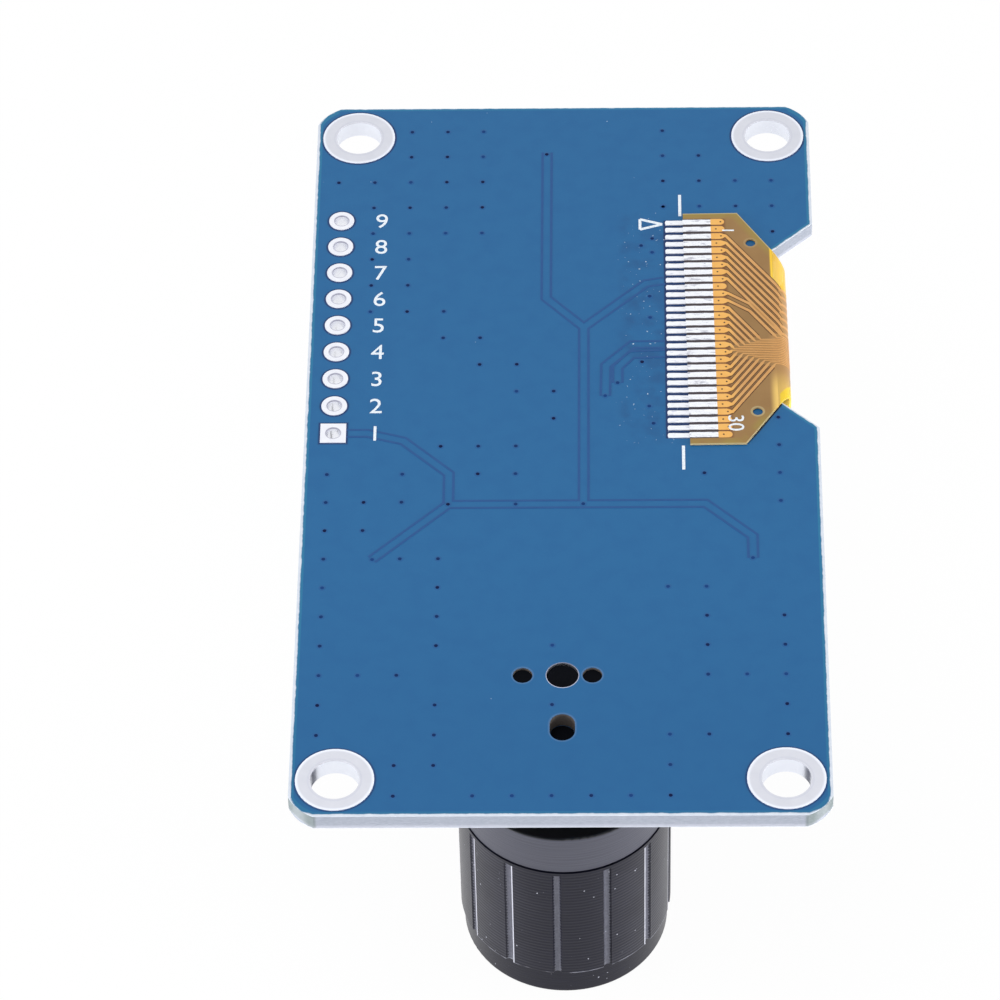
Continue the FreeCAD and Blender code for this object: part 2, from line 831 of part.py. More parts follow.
def detent_spring():
    """A flat spring ring under the top plate, with two bumps that drop into the rotor's notches."""
    body = encoder_body("detent_spring")
    outer = size.cavity_radius - size.rotor_gap
    inner = outer - size.rim_width
    bump_height = size.rim_top - size.detent_depth + size.detent_radius
    sketch = new_sketch(body, lift=size.base_height)
    circle(sketch, 0, 0, outer)
    circle(sketch, 0, 0, inner)
    pad(body, sketch, size.spring_thickness, reverse=True)
    sketch = new_sketch(body, "YZ_Plane", lift=inner + size.running_gap)
    circle(sketch, 0, bump_height, size.detent_radius)
    bump = pad(body, sketch, size.rim_width - 2 * size.running_gap)
    around(body, bump, 2)


def wiper_contacts():
    """Spring fingers on the cavity's floor that touch the code disc from below."""
    body = encoder_body("encoder_contacts")
    film = size.wiper_thickness
    root_end = size.cavity_radius - size.rotor_gap
    tip = size.well_radius + size.rotor_gap
    bend = (root_end + tip) / 2 + size.rotor_gap
    low = size.cavity_floor
    high = size.disc_bottom - size.code_disc_thickness - size.running_gap
    sketch = new_sketch(body, "XZ_Plane")
    outline(sketch, [
        (tip, high - film), (tip + size.rotor_gap, high - film), (bend, low), (root_end, low),
        (root_end, low + film), (bend, low + film), (tip + size.rotor_gap, high), (tip, high),
    ])
    finger = pad(body, sketch, size.wiper_width, symmetric=True)
    around(body, finger, size.wiper_count)


def dome(body, radius, height, floor):
    """A thin snap dome: a spherical cap shell that stands on a floor."""
    sphere = (radius * radius + height * height) / (2 * height)
    inner_sphere = sphere - size.dome_thickness
    drop = sphere - height
    inner = root(inner_sphere * inner_sphere - drop * drop)
    turned(body, [
        (inner, floor), (radius, floor, sphere), (0, floor + height),
        (0, floor + height - size.dome_thickness, -inner_sphere),
    ])


def encoder_push_dome():
    dome(encoder_body("encoder_push_dome"), size.dome_radius, size.dome_height, size.well_floor)


# Turning group: the rotor with its detent notches, and the code disc under it


def encoder_rotor():
    body = encoder_body("encoder_rotor")
    outer = size.cavity_radius - size.rotor_gap
    rim_inside = outer - size.rim_width
    journal = size.well_radius - size.running_gap
    journal_end = size.well_floor + size.push_travel
    floor = size.disc_bottom + size.disc_thickness
    hub_top = flange_low() - size.push_travel - size.stop_gap
    turned(body, [
        (0, journal_end), (journal, journal_end), (journal, size.disc_bottom),
        (outer, size.disc_bottom), (outer, size.rim_top), (rim_inside, size.rim_top),
        (rim_inside, floor), (size.hub_radius, floor), (size.hub_radius, hub_top), (0, hub_top),
    ])
    sketch = new_sketch(body, lift=size.rim_top)
    double_d_outline(sketch, size.stem_radius + size.running_gap, size.stem_flat + size.running_gap)
    pocket(body, sketch)
    # detent notches across the rim's top
    notch = size.detent_radius + size.running_gap
    sketch = new_sketch(body, "YZ_Plane", lift=rim_inside - notch)
    circle(sketch, 0, size.rim_top - size.detent_depth + size.detent_radius, notch)
    cut = pocket(body, sketch, size.rim_width + 2 * notch, reverse=True)
    around(body, cut, size.detent_count)


def encoder_code_disc():
    """A slotted contact plate moulded to the rotor's underside."""
    body = encoder_body("encoder_code_disc")
    low = size.disc_bottom - size.code_disc_thickness
    outer = size.cavity_radius - 2 * size.rotor_gap
    middle = (outer + size.well_radius) / 2
    sketch = new_sketch(body, lift=low)
    circle(sketch, 0, 0, outer)
    circle(sketch, 0, 0, size.well_radius)
    pad(body, sketch, size.code_disc_thickness)
    sketch = new_sketch(body, lift=size.disc_bottom)
    half_long, half_wide = size.code_window_length / 2, size.code_window_width / 2
    rectangle(sketch, middle - half_long, -half_wide, middle + half_long, half_wide)
    cut = pocket(body, sketch, size.code_disc_thickness)
    around(body, cut, size.detent_count)


# Pushing group: the shaft, with the knob pressed on it


def flange_low():
    return size.base_height - size.running_gap - size.shaft_flange


def encoder_shaft():
    """A turned shaft: D-cut end for the knob, stop flange, and a stem with two flats in the rotor."""
    body = encoder_body("encoder_shaft")
    low = size.well_floor + size.dome_height + size.running_gap
    flange_top = size.base_height - size.running_gap
    edge, stem_edge = size.shaft_chamfer, size.stem_chamfer
    turned(body, [
        (0, low), (size.stem_radius - stem_edge, low), (size.stem_radius, low + stem_edge),
        (size.stem_radius, flange_low()), (size.shaft_flange_radius, flange_low()),
        (size.shaft_flange_radius, flange_top), (size.shaft_radius, flange_top),
        (size.shaft_radius, shaft_top - edge), (size.shaft_radius - edge, shaft_top), (0, shaft_top),
    ])
    sketch = new_sketch(body, lift=flange_low())
    wide = 2 * size.stem_radius
    rectangle(sketch, -wide, size.stem_flat, wide, wide)
    rectangle(sketch, -wide, -wide, wide, -size.stem_flat)
    pocket(body, sketch, flange_low() - low)
    sketch = new_sketch(body, lift=shaft_top)
    wide = 2 * size.shaft_radius
    rectangle(sketch, -wide, size.shaft_flat, wide, wide)
    body.Tip = pocket(body, sketch, size.shaft_flat_length)


def knob_insert():
    """Moulded core of the knob: a collar that clears the bushing, and a ribbed hub with a D bore."""
    body = encoder_body("knob_insert")
    bore = size.shaft_radius + size.bore_clearance
    hollow = insert_radius - size.insert_wall
    hub_face = bushing_top + size.push_travel + size.stop_gap
    hollow_top = insert_roof_top - size.insert_roof
    edge = size.collar_edge
    collar_radius = size.knob_radius - size.collar_inset
    shoulder = shell_mouth - size.collar_mouth_gap
    turned(body, [
        (hollow, collar_end), (collar_radius - edge, collar_end, edge),
        (collar_radius, collar_end + edge), (collar_radius, shoulder), (insert_radius, shoulder),
        (insert_radius, insert_roof_top), (0, insert_roof_top),
        (0, hub_face), (size.insert_hub_radius, hub_face), (size.insert_hub_radius, hollow_top),
        (hollow, hollow_top),
    ])
    sketch = new_sketch(body, lift=hub_face)
    overlap = size.insert_rib / 2
    rectangle(sketch, size.insert_hub_radius - overlap, -overlap, hollow + overlap, overlap)
    rib = pad(body, sketch, hollow_top - hub_face)
    around(body, rib, size.insert_rib_count)
    flat_start = shaft_top - size.shaft_flat_length
    sketch = new_sketch(body, lift=hub_face)
    circle(sketch, 0, 0, bore)
    pocket(body, sketch, flat_start + size.running_gap - hub_face, reverse=True)
    sketch = new_sketch(body, lift=flat_start)
    d_outline(sketch, bore, size.shaft_flat + size.bore_clearance)
    body.Tip = pocket(body, sketch, insert_bore_end - flat_start, reverse=True)


def knob_shell():
    """Turned aluminium cup over the insert, with narrow flutes and a smaller plain band at its end."""
    body = encoder_body("knob_shell")
    outer, inner, edge = size.knob_radius, size.knob_radius - size.knob_wall, size.knob_edge
    band = outer - size.knob_band_inset
    floor = knob_end - size.knob_end_thickness
    flute_low = shell_mouth + size.flute_start
    step = flute_low + size.flute_length
    turned(body, [
        (inner, shell_mouth), (outer, shell_mouth), (outer, step), (band, step),
        (band, knob_end - edge, edge), (band - edge, knob_end), (0, knob_end), (0, floor),
        (inner, floor),
    ])
    sketch = new_sketch(body, lift=flute_low)
    reach = outer + size.flute_stand
    circle(sketch, reach * cosine(size.flute_angle), reach * sine(size.flute_angle), size.flute_radius)
    cut = pocket(body, sketch, size.flute_length, reverse=True)
    around(body, cut, size.flute_count)


# Push buttons: one function builds the pieces of each, left and right of the encoder


def push_button(side, x):
    half = size.button_size / 2
    cover_top = size.button_base_height + size.button_cover
    post = half - size.button_post_inset
    bore = size.plunger_radius + size.plunger_clearance

    def button_body(name):
        return front_body(f"{side}_button_{name}", x, size.button_y)

    body = button_body("base")
    sketch = new_sketch(body)
    chamfered_rectangle(sketch, size.button_size, size.button_size, size.button_chamfer)
    pad(body, sketch, size.button_base_height)
    sketch = new_sketch(body, lift=size.button_base_height)
    circle(sketch, 0, 0, size.button_cavity_radius)
    pocket(body, sketch, size.button_base_height - size.button_floor)
    sketch = new_sketch(body, lift=size.button_base_height)
    circle(sketch, -post, -post, size.button_post_radius)
    stake = pad(body, sketch, size.button_cover + size.button_post_rise)
    in_line(body, stake, "X_Axis", 2 * post, 2, across=("Y_Axis", 2 * post, 2))
    # slots that hold the leads
    sketch = new_sketch(body, lift=size.button_lead_exit + size.button_lead_thickness)
    wide, deep = size.button_lead_width / 2, size.button_lead_inset
    for step in (-1, 1):
        place = step * size.button_lead_spacing / 2
        rectangle(sketch, place - wide, half - deep, place + wide, half)
        rectangle(sketch, place - wide, -half, place + wide, deep - half)
    body.Tip = pocket(body, sketch, size.button_lead_thickness)

    body = button_body("cover")
    sheet_metal = size.button_cover
    low = cover_top - size.button_skirt_drop
    sketch = new_sketch(body, "XZ_Plane")
    outline(sketch, [
        (-half - sheet_metal, low), (-half, low), (-half, cover_top - sheet_metal),
        (half, cover_top - sheet_metal), (half, low), (half + sheet_metal, low),
        (half + sheet_metal, cover_top - sheet_metal, sheet_metal), (half, cover_top),
        (-half, cover_top, sheet_metal), (-half - sheet_metal, cover_top - sheet_metal),
    ])
    pad(body, sketch, size.button_skirt_width, symmetric=True)
    sketch = new_sketch(body, lift=size.button_base_height)
    chamfered_rectangle(sketch, size.button_size, size.button_size, size.button_chamfer)
    pad(body, sketch, sheet_metal)
    sketch = new_sketch(body, lift=cover_top)
    circle(sketch, 0, 0, bore)
    pocket(body, sketch, sheet_metal)
    sketch = new_sketch(body, lift=cover_top)
    circle(sketch, -post, -post, size.button_post_radius)
    in_line(body, pocket(body, sketch, sheet_metal), "X_Axis", 2 * post, 2,
            across=("Y_Axis", 2 * post, 2))

    body = button_body("terminals")
    sketch = new_sketch(body, "YZ_Plane", lift=-size.button_lead_spacing / 2)
    for direction in (1, -1):
        lead_outline(sketch, direction, half, size.button_lead_exit, size.button_lead_thickness,
                     size.button_lead_inset, size.button_lead_stand, size.button_lead_reach)
    leads = pad(body, sketch, size.button_lead_width, symmetric=True)
    in_line(body, leads, "X_Axis", size.button_lead_spacing, 2)

    dome(button_body("dome"), size.button_dome_radius, size.button_dome_height, size.button_floor)

    body = button_body("plunger")
    flange_top = size.button_base_height - size.running_gap
    flange_bottom = flange_top - size.plunger_flange
    nub_low = size.button_floor + size.button_dome_height + size.running_gap
    flange_radius = size.button_cavity_radius - size.plunger_flange_gap
    edge = size.plunger_edge
    turned(body, [
        (0, nub_low), (size.plunger_nub_radius, nub_low), (size.plunger_nub_radius, flange_bottom),
        (flange_radius, flange_bottom), (flange_radius, flange_top),
        (size.plunger_radius, flange_top), (size.plunger_radius, size.plunger_height - edge, edge),
        (size.plunger_radius - edge, size.plunger_height), (0, size.plunger_height),
    ])


# Chip resistors, chip capacitors and the voltage regulator, all soldered on the front face


def chip_row(label, row, pitch, count, length, width, height):
    """The ceramic bodies of a row of chip parts, without their end caps."""
    body = front_body(label, size.part_row_start, row)
    half = length / 2 - size.end_cap_length
    sketch = new_sketch(body)
    rectangle(sketch, -width / 2, -half, width / 2, half)
    in_line(body, pad(body, sketch, height), "X_Axis", pitch, count)


def end_caps(label, row, pitch, count, length, width, height):
    body = front_body(label, size.part_row_start, row)
    sketch = new_sketch(body)
    half, cap = length / 2, size.end_cap_length
    rectangle(sketch, -width / 2, half - cap, width / 2, half)
    rectangle(sketch, -width / 2, -half, width / 2, cap - half)
    in_line(body, pad(body, sketch, height), "X_Axis", pitch, count)


def chip_parts():
    resistors = (size.resistor_row, size.resistor_pitch, size.resistor_count,
                 size.resistor_length, size.resistor_width, size.resistor_height)
    capacitors = (size.capacitor_row, size.capacitor_pitch, size.capacitor_count,
                  size.capacitor_length, size.capacitor_width, size.capacitor_height)
    chip_row("chip_resistors", *resistors)
    end_caps("chip_resistor_caps", *resistors)
    chip_row("chip_capacitors", *capacitors)
    end_caps("chip_capacitor_caps", *capacitors)


def voltage_regulator():
    """A three-lead regulator: one lead on one long side and two on the other."""
    half_long, half_wide = size.regulator_length / 2, size.regulator_width / 2
    lead = size.regulator_lead_thickness
    body = front_body("voltage_regulator", size.regulator_x, size.regulator_y)
    sketch = new_sketch(body, lift=size.regulator_standoff)
    rectangle(sketch, -half_long, -half_wide, half_long, half_wide)
    pad(body, sketch, size.regulator_height)

    body = front_body("regulator_leads", size.regulator_x, size.regulator_y)
    profile = (half_wide, size.regulator_lead_exit, lead, 0, size.regulator_lead_stand,
               size.regulator_lead_reach)
    for side, start, count in ((1, 0, 1), (-1, -size.regulator_lead_pitch, 2)):
        sketch = new_sketch(body, "YZ_Plane", lift=start)
        lead_outline(sketch, side, *profile)
        feature = pad(body, sketch, size.regulator_lead_width, symmetric=True)
        if count > 1:
            in_line(body, feature, "X_Axis", 2 * size.regulator_lead_pitch, count)


circuit_board()
board_mount_plating()
board_header_plating()
encoder_hole_ring()
display_solder_pads()
display_panel()
display_flex()
encoder_base()
encoder_terminals()
encoder_bushing()
encoder_bracket()
detent_spring()
wiper_contacts()
encoder_push_dome()
encoder_rotor()
encoder_code_disc()
encoder_shaft()
knob_insert()
knob_shell()
push_button("left", -size.button_x)
push_button("right", size.button_x)
chip_parts()
voltage_regulator()
doc.recompute()

for item in doc.Objects:
    faults = [state for state in item.State if state in ("Invalid", "Error")]
    if faults:
        raise RuntimeError(f"{item.Label} did not build: {faults}")
for piece in pieces:
    if piece.Shape.isNull() or not piece.Shape.isValid() or not piece.Shape.Solids:
        raise RuntimeError(f"{piece.Label} has no sound solid")

os.makedirs("parts", exist_ok=True)
for piece in pieces:
    piece.Shape.exportStep(f"parts/{piece.Label}.step")
    corners = piece.Shape.BoundBox
    print(f"{piece.Label}: {len(piece.Shape.Solids)} solid(s), {piece.Shape.Volume:.3f} mm3, "
          f"x {corners.XMin:.2f} {corners.XMax:.2f}, y {corners.YMin:.2f} {corners.YMax:.2f}, "
          f"z {corners.ZMin:.2f} {corners.ZMax:.2f}")
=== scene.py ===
import math

import bmesh
import bpy
from mathutils import Matrix, Quaternion, Vector


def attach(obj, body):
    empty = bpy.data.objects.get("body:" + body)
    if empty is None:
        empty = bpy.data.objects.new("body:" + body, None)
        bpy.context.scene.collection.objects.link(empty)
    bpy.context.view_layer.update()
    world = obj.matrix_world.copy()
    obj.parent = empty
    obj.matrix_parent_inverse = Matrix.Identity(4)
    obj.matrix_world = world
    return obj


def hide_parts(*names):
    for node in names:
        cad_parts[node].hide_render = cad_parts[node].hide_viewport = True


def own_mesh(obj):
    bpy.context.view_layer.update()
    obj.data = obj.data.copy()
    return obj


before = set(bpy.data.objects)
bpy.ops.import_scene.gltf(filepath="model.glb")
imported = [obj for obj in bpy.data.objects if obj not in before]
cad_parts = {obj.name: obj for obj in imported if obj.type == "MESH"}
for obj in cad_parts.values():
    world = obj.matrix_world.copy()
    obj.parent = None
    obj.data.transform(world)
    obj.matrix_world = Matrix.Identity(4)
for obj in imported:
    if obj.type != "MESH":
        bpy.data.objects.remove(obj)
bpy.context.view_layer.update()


# Circuit board: woven glass and resin under a blue solder mask that stops just short of
# the routed edge, so a pale rim and the cut laminate with its rough fibres stay bare.

MM = 0.001
ALL_ROUND = 2 * math.pi


def linear(part):
    share = part / 255
    return share / 12.92 if share <= 0.04045 else ((share + 0.055) / 1.055) ** 2.4


def ink(red, green, blue):
    """A screen colour, 0 to 255, as the shader's linear colour."""
    return (linear(red), linear(green), linear(blue), 1)


class Signal:
    """A number on its way between shader nodes: arithmetic on it adds the maths nodes."""

    def __init__(self, finish, socket):
        self.finish = finish
        self.socket = socket

    def maths(self, operation, *others):
        values = dict(enumerate((self, *others)))
        return self.finish.node("ShaderNodeMath", {"operation": operation}, values)

    def __add__(self, other):
        return self.maths("ADD", other)

    def __sub__(self, other):
        return self.maths("SUBTRACT", other)

    def __rsub__(self, other):
        return self.finish.node("ShaderNodeMath", {"operation": "SUBTRACT"}, {0: other, 1: self})

    def __mul__(self, other):
        return self.maths("MULTIPLY", other)

    def __lt__(self, other):
        return self.maths("LESS_THAN", other)

    __radd__ = __add__
    __rmul__ = __mul__

    def unsigned(self):
        return self.maths("ABSOLUTE")

    def most(self, other):
        return self.maths("MAXIMUM", other)

    def least(self, other):
        return self.maths("MINIMUM", other)


def span(one, other):
    """How far a point is from the spot where both signals are zero."""
    return (one * one + other * other).maths("SQRT")


class Nodes:
    """A node tree that is being filled: each node is asked for by its type."""

    def __init__(self, tree):
        self.tree = tree

    def feed(self, socket, value):
        if isinstance(value, Signal):
            self.tree.links.new(value.socket, socket)
        else:
            socket.default_value = value

    def node(self, kind, settings, sockets, out=0):
        made = self.tree.nodes.new(kind)
        for name, value in settings.items():
            setattr(made, name, value)
        for name, value in sockets.items():
            self.feed(made.inputs[name], value)
        return Signal(self, made.outputs[out])


class Paint(Nodes):
    """A finish in the making: its shader's fixed values, and patterns in millimetres."""

    def __init__(self, name, colour, roughness, **fixed):
        self.material = bpy.data.materials.new(name)
        self.material.use_nodes = True
        super().__init__(self.material.node_tree)
        self.shader = self.tree.nodes["Principled BSDF"]
        self.lay("Base Color", colour)
        self.lay("Roughness", roughness)
        for socket, value in fixed.items():
            self.lay(socket.replace("_", " ").title().replace("Ior", "IOR"), value)
        spot = self.node("ShaderNodeTexCoord", {}, {}, "Object")
        self.spot = self.node("ShaderNodeVectorMath", {"operation": "SCALE"},
                              {"Vector": spot, "Scale": 1 / MM})

    def lay(self, socket, value):
        self.feed(self.shader.inputs[socket], value)

    def axes(self, spot=None):
        """Where a point is on the piece, as three signals in millimetres."""
        return [self.node("ShaderNodeSeparateXYZ", {}, {"Vector": spot or self.spot}, axis)
                for axis in "XYZ"]

    def grain(self, per_mm, detail=2, stretch=(1, 1, 1)):
        """Soft noise of about one patch per 1 / per_mm millimetres, from 0 to 1."""
        spot = self.node("ShaderNodeMapping", {}, {"Vector": self.spot, "Scale": stretch})
        return self.node("ShaderNodeTexNoise", {}, {"Vector": spot, "Scale": per_mm, "Detail": detail})

    def step(self, value, low, high):
        """Rises smoothly from 0 at low to 1 at high."""
        return self.node("ShaderNodeMapRange", {"interpolation_type": "SMOOTHSTEP"},
                         {"Value": value, "From Min": low, "From Max": high})

    def band(self, value, low, high, soft):
        """Is 1 between low and high, and fades out over soft on both sides."""
        return self.step(value, low - soft, low) * (1 - self.step(value, high, high + soft))

    def mix(self, share, under, over):
        return self.node("ShaderNodeMix", {"data_type": "RGBA"}, {0: share, 6: under, 7: over}, 2)

    def bump(self, height, tall):
        """Relief of that many millimetres where height goes from 0 to 1."""
        self.lay("Normal", self.node("ShaderNodeBump", {}, {"Height": height, "Strength": 1.0,
                                                            "Distance": tall * MM}))


half_wide = 17.45
half_long = 32.5
board_thick = 1.2
screw_x = 14.5
screw_y = 29.5
corner_reach = 3.3
corner_cut = 48.1
notch_x = 14.6
notch_y = 10.95
notch_half = 7.1
notch_slope = 0.93
rim_wide = 0.18
shaft_x = 0.1
shaft_y = -20.73
peg_left = 2.6
peg_right = 1.95
peg_hole = 0.7
slot_y = -25.15
slot_half = 0.87
slot_straight = 0.3
header_x = -15.5
header_low = 0.86
header_count = 9
grid_pitch = 2.54
header_high = header_low + (header_count - 1) * grid_pitch
pad_half = 0.84
ring_edge = 2.5
pads_low = 0.3
pads_high = 21.0

mask_paint = Paint("solder_mask_blue", ink(30, 100, 152), 0.34, specular_ior_level=0.3)
across, along, up = mask_paint.axes()
wide, long = across.unsigned(), along.unsigned()

# The bare rim: past_mask says how far beyond the mask's edge a point is.
past_side = (wide - half_wide).most(long - half_long)
past_corner = span((wide - screw_x).most(0), (long - screw_y).most(0)) - corner_reach
notch_wall = (along - notch_y).unsigned() - notch_half - (across - notch_x) * notch_slope
to_notch = (notch_x - across).most(notch_wall * math.cos(math.atan(notch_slope)) + rim_wide / 2)
past_edge = past_side.most(past_corner).most(0 - to_notch)
chips = mask_paint.grain(1.6, 4)
at_corner = mask_paint.step(wide + long, corner_cut, corner_cut + 0.6)
snug = at_corner.most(mask_paint.step(along, half_long - 0.5, half_long - 0.3))
past_mask = past_edge + rim_wide - snug * (rim_wide - 0.03)
bare = mask_paint.step(past_mask + (chips - 0.5) * 0.14, -0.04, 0.04)
teal = mask_paint.band(past_mask, -0.14, 0, 0.08) * 0.4

# Dark navy round the tinned rings and the header's pads, the lowest of them square: partly the mask's
# clearance gap and partly painted shade.
screw_ring = span(wide - screw_x, long - screw_y)
from_header_x = (across - header_x).unsigned()
from_header_y = (along - header_low).maths("PINGPONG", grid_pitch / 2)
square_pad = along < header_low + grid_pitch / 2
round_ring = span(from_header_x, from_header_y)
header_ring = round_ring + square_pad * (from_header_x.most(from_header_y) - round_ring)
in_header = mask_paint.band(along, header_low - 1.2, header_high + 1.2, 0.02)
pad_shade = (mask_paint.band(screw_ring, ring_edge, ring_edge + 0.14, 0.08)
             + mask_paint.band(header_ring, pad_half, pad_half + 0.11, 0.12) * in_header).least(1)

# The face: a faint weave, smears of flux and dust beside the pads, and a few stray specks.
weave = mask_paint.grain(0.7, 3)
speckle = mask_paint.grain(7, 2)
face = mask_paint.mix(mask_paint.step(weave, 0.35, 0.75) * 0.28, ink(29, 97, 148), ink(19, 85, 139))
face = mask_paint.mix(mask_paint.step(speckle, 0.6, 0.8) * 0.1, face, ink(70, 130, 176))
face = mask_paint.mix(pad_shade * 0.75, face, ink(14, 30, 84))

# Between the flex's pads the mask is painted dark navy: partly bare board and partly painted shade beside
# the raised solder.
between_pads_shade = mask_paint.band(across, 7.1, 8.7, 0.12) * mask_paint.band(along, pads_low, pads_high, 0.12)
flux = mask_paint.band(across, 4.6, 7.3, 1.1) * mask_paint.band(along, pads_low + 0.3, pads_high, 1.2)
haze = mask_paint.grain(0.55, 4)
dust = mask_paint.grain(4.2, 3)
face = mask_paint.mix(flux * mask_paint.step(haze, 0.42, 0.7) * 0.55, face, ink(22, 72, 122))
face = mask_paint.mix(between_pads_shade * 0.9, face, ink(7, 34, 84))
face = mask_paint.mix(flux * mask_paint.step(dust, 0.69, 0.73), face, ink(206, 222, 236))
stray = mask_paint.grain(2.1, 1)
face = mask_paint.mix(mask_paint.step(stray, 0.815, 0.83) * 0.7, face, ink(190, 210, 230))
face = mask_paint.mix(teal, face, ink(48, 134, 160))

# The mask ends in a pale rim at the encoder's peg holes and its slot.
from_left_peg = span(across - shaft_x + peg_left, along - shaft_y)
from_right_peg = span(across - shaft_x - peg_right, along - shaft_y)
from_peg = from_left_peg.least(from_right_peg)
from_slot = span(across - shaft_x, ((along - slot_y).unsigned() - slot_straight).most(0))
mask_rim = (1 - mask_paint.step(from_peg, peg_hole, peg_hole + 0.08)).most(
    1 - mask_paint.step(from_slot, slot_half, slot_half + 0.1))
face = mask_paint.mix(mask_rim * 0.4, face, ink(112, 140, 176))

# A painted shadow under the film's lower slanted edge, which is the line where beside_film is 0.
beside_film = across * 0.8405 - along * 0.5417 - 10.685
film_shadow = mask_paint.band(beside_film, -0.3, 0.08, 0.05) * mask_paint.step(along, -0.5, 0.8)
face = mask_paint.mix(film_shadow * 0.9, face, ink(12, 16, 32))
# The mask is painted a little darker towards the encoder's end.
face = mask_paint.mix((1 - mask_paint.step(along, -30, -8)) * 0.3, face, ink(16, 82, 132))
face = mask_paint.mix(bare, face, mask_paint.mix(chips, ink(200, 209, 222), ink(226, 231, 240)))

# The cut edge: fibres across its thickness, a paler lower lip, a greener tone and a darker line at the
# chamfered corners, and painted shade on the walls of the encoder's slot and holes.
cut_edge = mask_paint.band(up, 0.06 - board_thick, -0.06, 0.03)
fibres = mask_paint.grain(3.4, 4, (1, 1, 2.4))
lower_lip = 1 - mask_paint.step(up, 0.12 - board_thick, 0.4 - board_thick)
side = mask_paint.mix(fibres, ink(146, 152, 166), ink(176, 181, 193))
side = mask_paint.mix(lower_lip * 0.4, side, ink(214, 215, 228))
side = mask_paint.mix(at_corner * (1 - lower_lip) * 0.5, side, ink(150, 160, 154))
corner_line = mask_paint.band(wide + long, corner_cut + 0.15, corner_cut + 0.35, 0.2)
side = mask_paint.mix(corner_line * 0.5, side, ink(96, 112, 104))
# The walls of the encoder's slot and peg holes are painted darker brown: painted shade down inside them.
in_slot = 1 - mask_paint.step(span(across - shaft_x, along - slot_y), 1.7, 1.8)
in_holes = 1 - mask_paint.step(span(across - shaft_x, along - shaft_y), 3.6, 3.7)
by_encoder = in_slot.most(in_holes)
side = mask_paint.mix(by_encoder, side, mask_paint.mix(fibres, ink(84, 78, 76), ink(112, 104, 98)))
mask_paint.lay("Base Color", mask_paint.mix(cut_edge, face, side))
rough = cut_edge.most(bare)
mask_paint.lay("Roughness", 0.34 + rough * 0.4 + weave * 0.05)
mask_paint.bump(fibres * rough * 0.6 + speckle * (1 - rough) * 0.05, 0.05)


def dress(node, paint):
    """Gives a CAD node its finish."""
    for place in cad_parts[node].material_slots:
        place.material = paint.material


dress("circuit_board", mask_paint)


# Copper under the mask: the tracks stand out only by the narrow gaps cut along both
# of their sides, which look darker because bare laminate lies under the mask there.

def make_piece(name, shape, paint, body):
    """Puts a shape drawn in millimetres into the scene as a piece that rides on a body."""
    bmesh.ops.transform(shape, matrix=Matrix.Scale(MM, 4), verts=shape.verts)
    mesh = bpy.data.meshes.new(name)
    shape.to_mesh(mesh)
    shape.free()
    mesh.materials.append(paint.material)
    piece = bpy.data.objects.new(name, mesh)
    bpy.context.scene.collection.objects.link(piece)
    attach(piece, body)
    return piece


def corners_of(geometry):
    return [item for item in geometry if isinstance(item, bmesh.types.BMVert)]


def thicken(shape, faces, tall):
    """Draws faces upwards into a closed slab and turns its skin outwards."""
    grown = corners_of(bmesh.ops.extrude_face_region(shape, geom=faces)["geom"])
    bmesh.ops.translate(shape, verts=grown, vec=(0, 0, tall))
    bmesh.ops.recalc_face_normals(shape, faces=shape.faces)


def ribbon(shape, line, width, low, tall, aside=0):
    """A flat strip along a line of (x, y) points with mitred corners, of one width or one per point."""
    widths = width if isinstance(width, (list, tuple)) else [width] * len(line)
    spots = [Vector(spot) for spot in line]
    runs = [(b - a).normalized() for a, b in zip(spots, spots[1:])]
    rows = []
    for at, (spot, broad) in enumerate(zip(spots, widths)):
        before, after = runs[max(at - 1, 0)], runs[min(at, len(runs) - 1)]
        middle = (before + after).normalized()
        sideways = Vector((-middle.y, middle.x)) / max(middle.dot(after), 0.3)
        rows.append([spot + sideways * (aside + reach) for reach in (-broad / 2, broad / 2)])
    edge = shape.edges.new([shape.verts.new((*corner, low)) for corner in rows[0]])
    faces = []
    for row in rows[1:]:
        drawn = bmesh.ops.extrude_edge_only(shape, edges=[edge])["geom"]
        for corner, spot in zip(corners_of(drawn), row):
            corner.co = (*spot, low)
        edge = next(item for item in drawn if isinstance(item, bmesh.types.BMEdge)
                    and all(corner in corners_of(drawn) for corner in item.verts))
        faces += [item for item in drawn if isinstance(item, bmesh.types.BMFace)]
    thicken(shape, faces, tall)


def disc(shape, x, y, radius, low, tall, sides=16, top=1.0):
    """A low round button, narrower at its top where top is below 1."""
    bmesh.ops.create_cone(shape, cap_ends=True, segments=sides, radius1=radius, radius2=radius * top,
                          depth=tall, matrix=Matrix.Translation((x, y, low + tall / 2)))


track_half = 0.32
track_gap = 0.17
gap_tall = 0.01
tall_step = 0.001
gap_paint = Paint("mask_over_laminate", ink(38, 80, 144), 0.36, specular_ior_level=0.3)
gap_blur = gap_paint.grain(1.4, 3)
gap_paint.lay("Base Color", gap_paint.mix(gap_blur, ink(24, 74, 130), ink(36, 84, 140)))
gap_paint.lay("Roughness", 0.34 + gap_blur * 0.08)

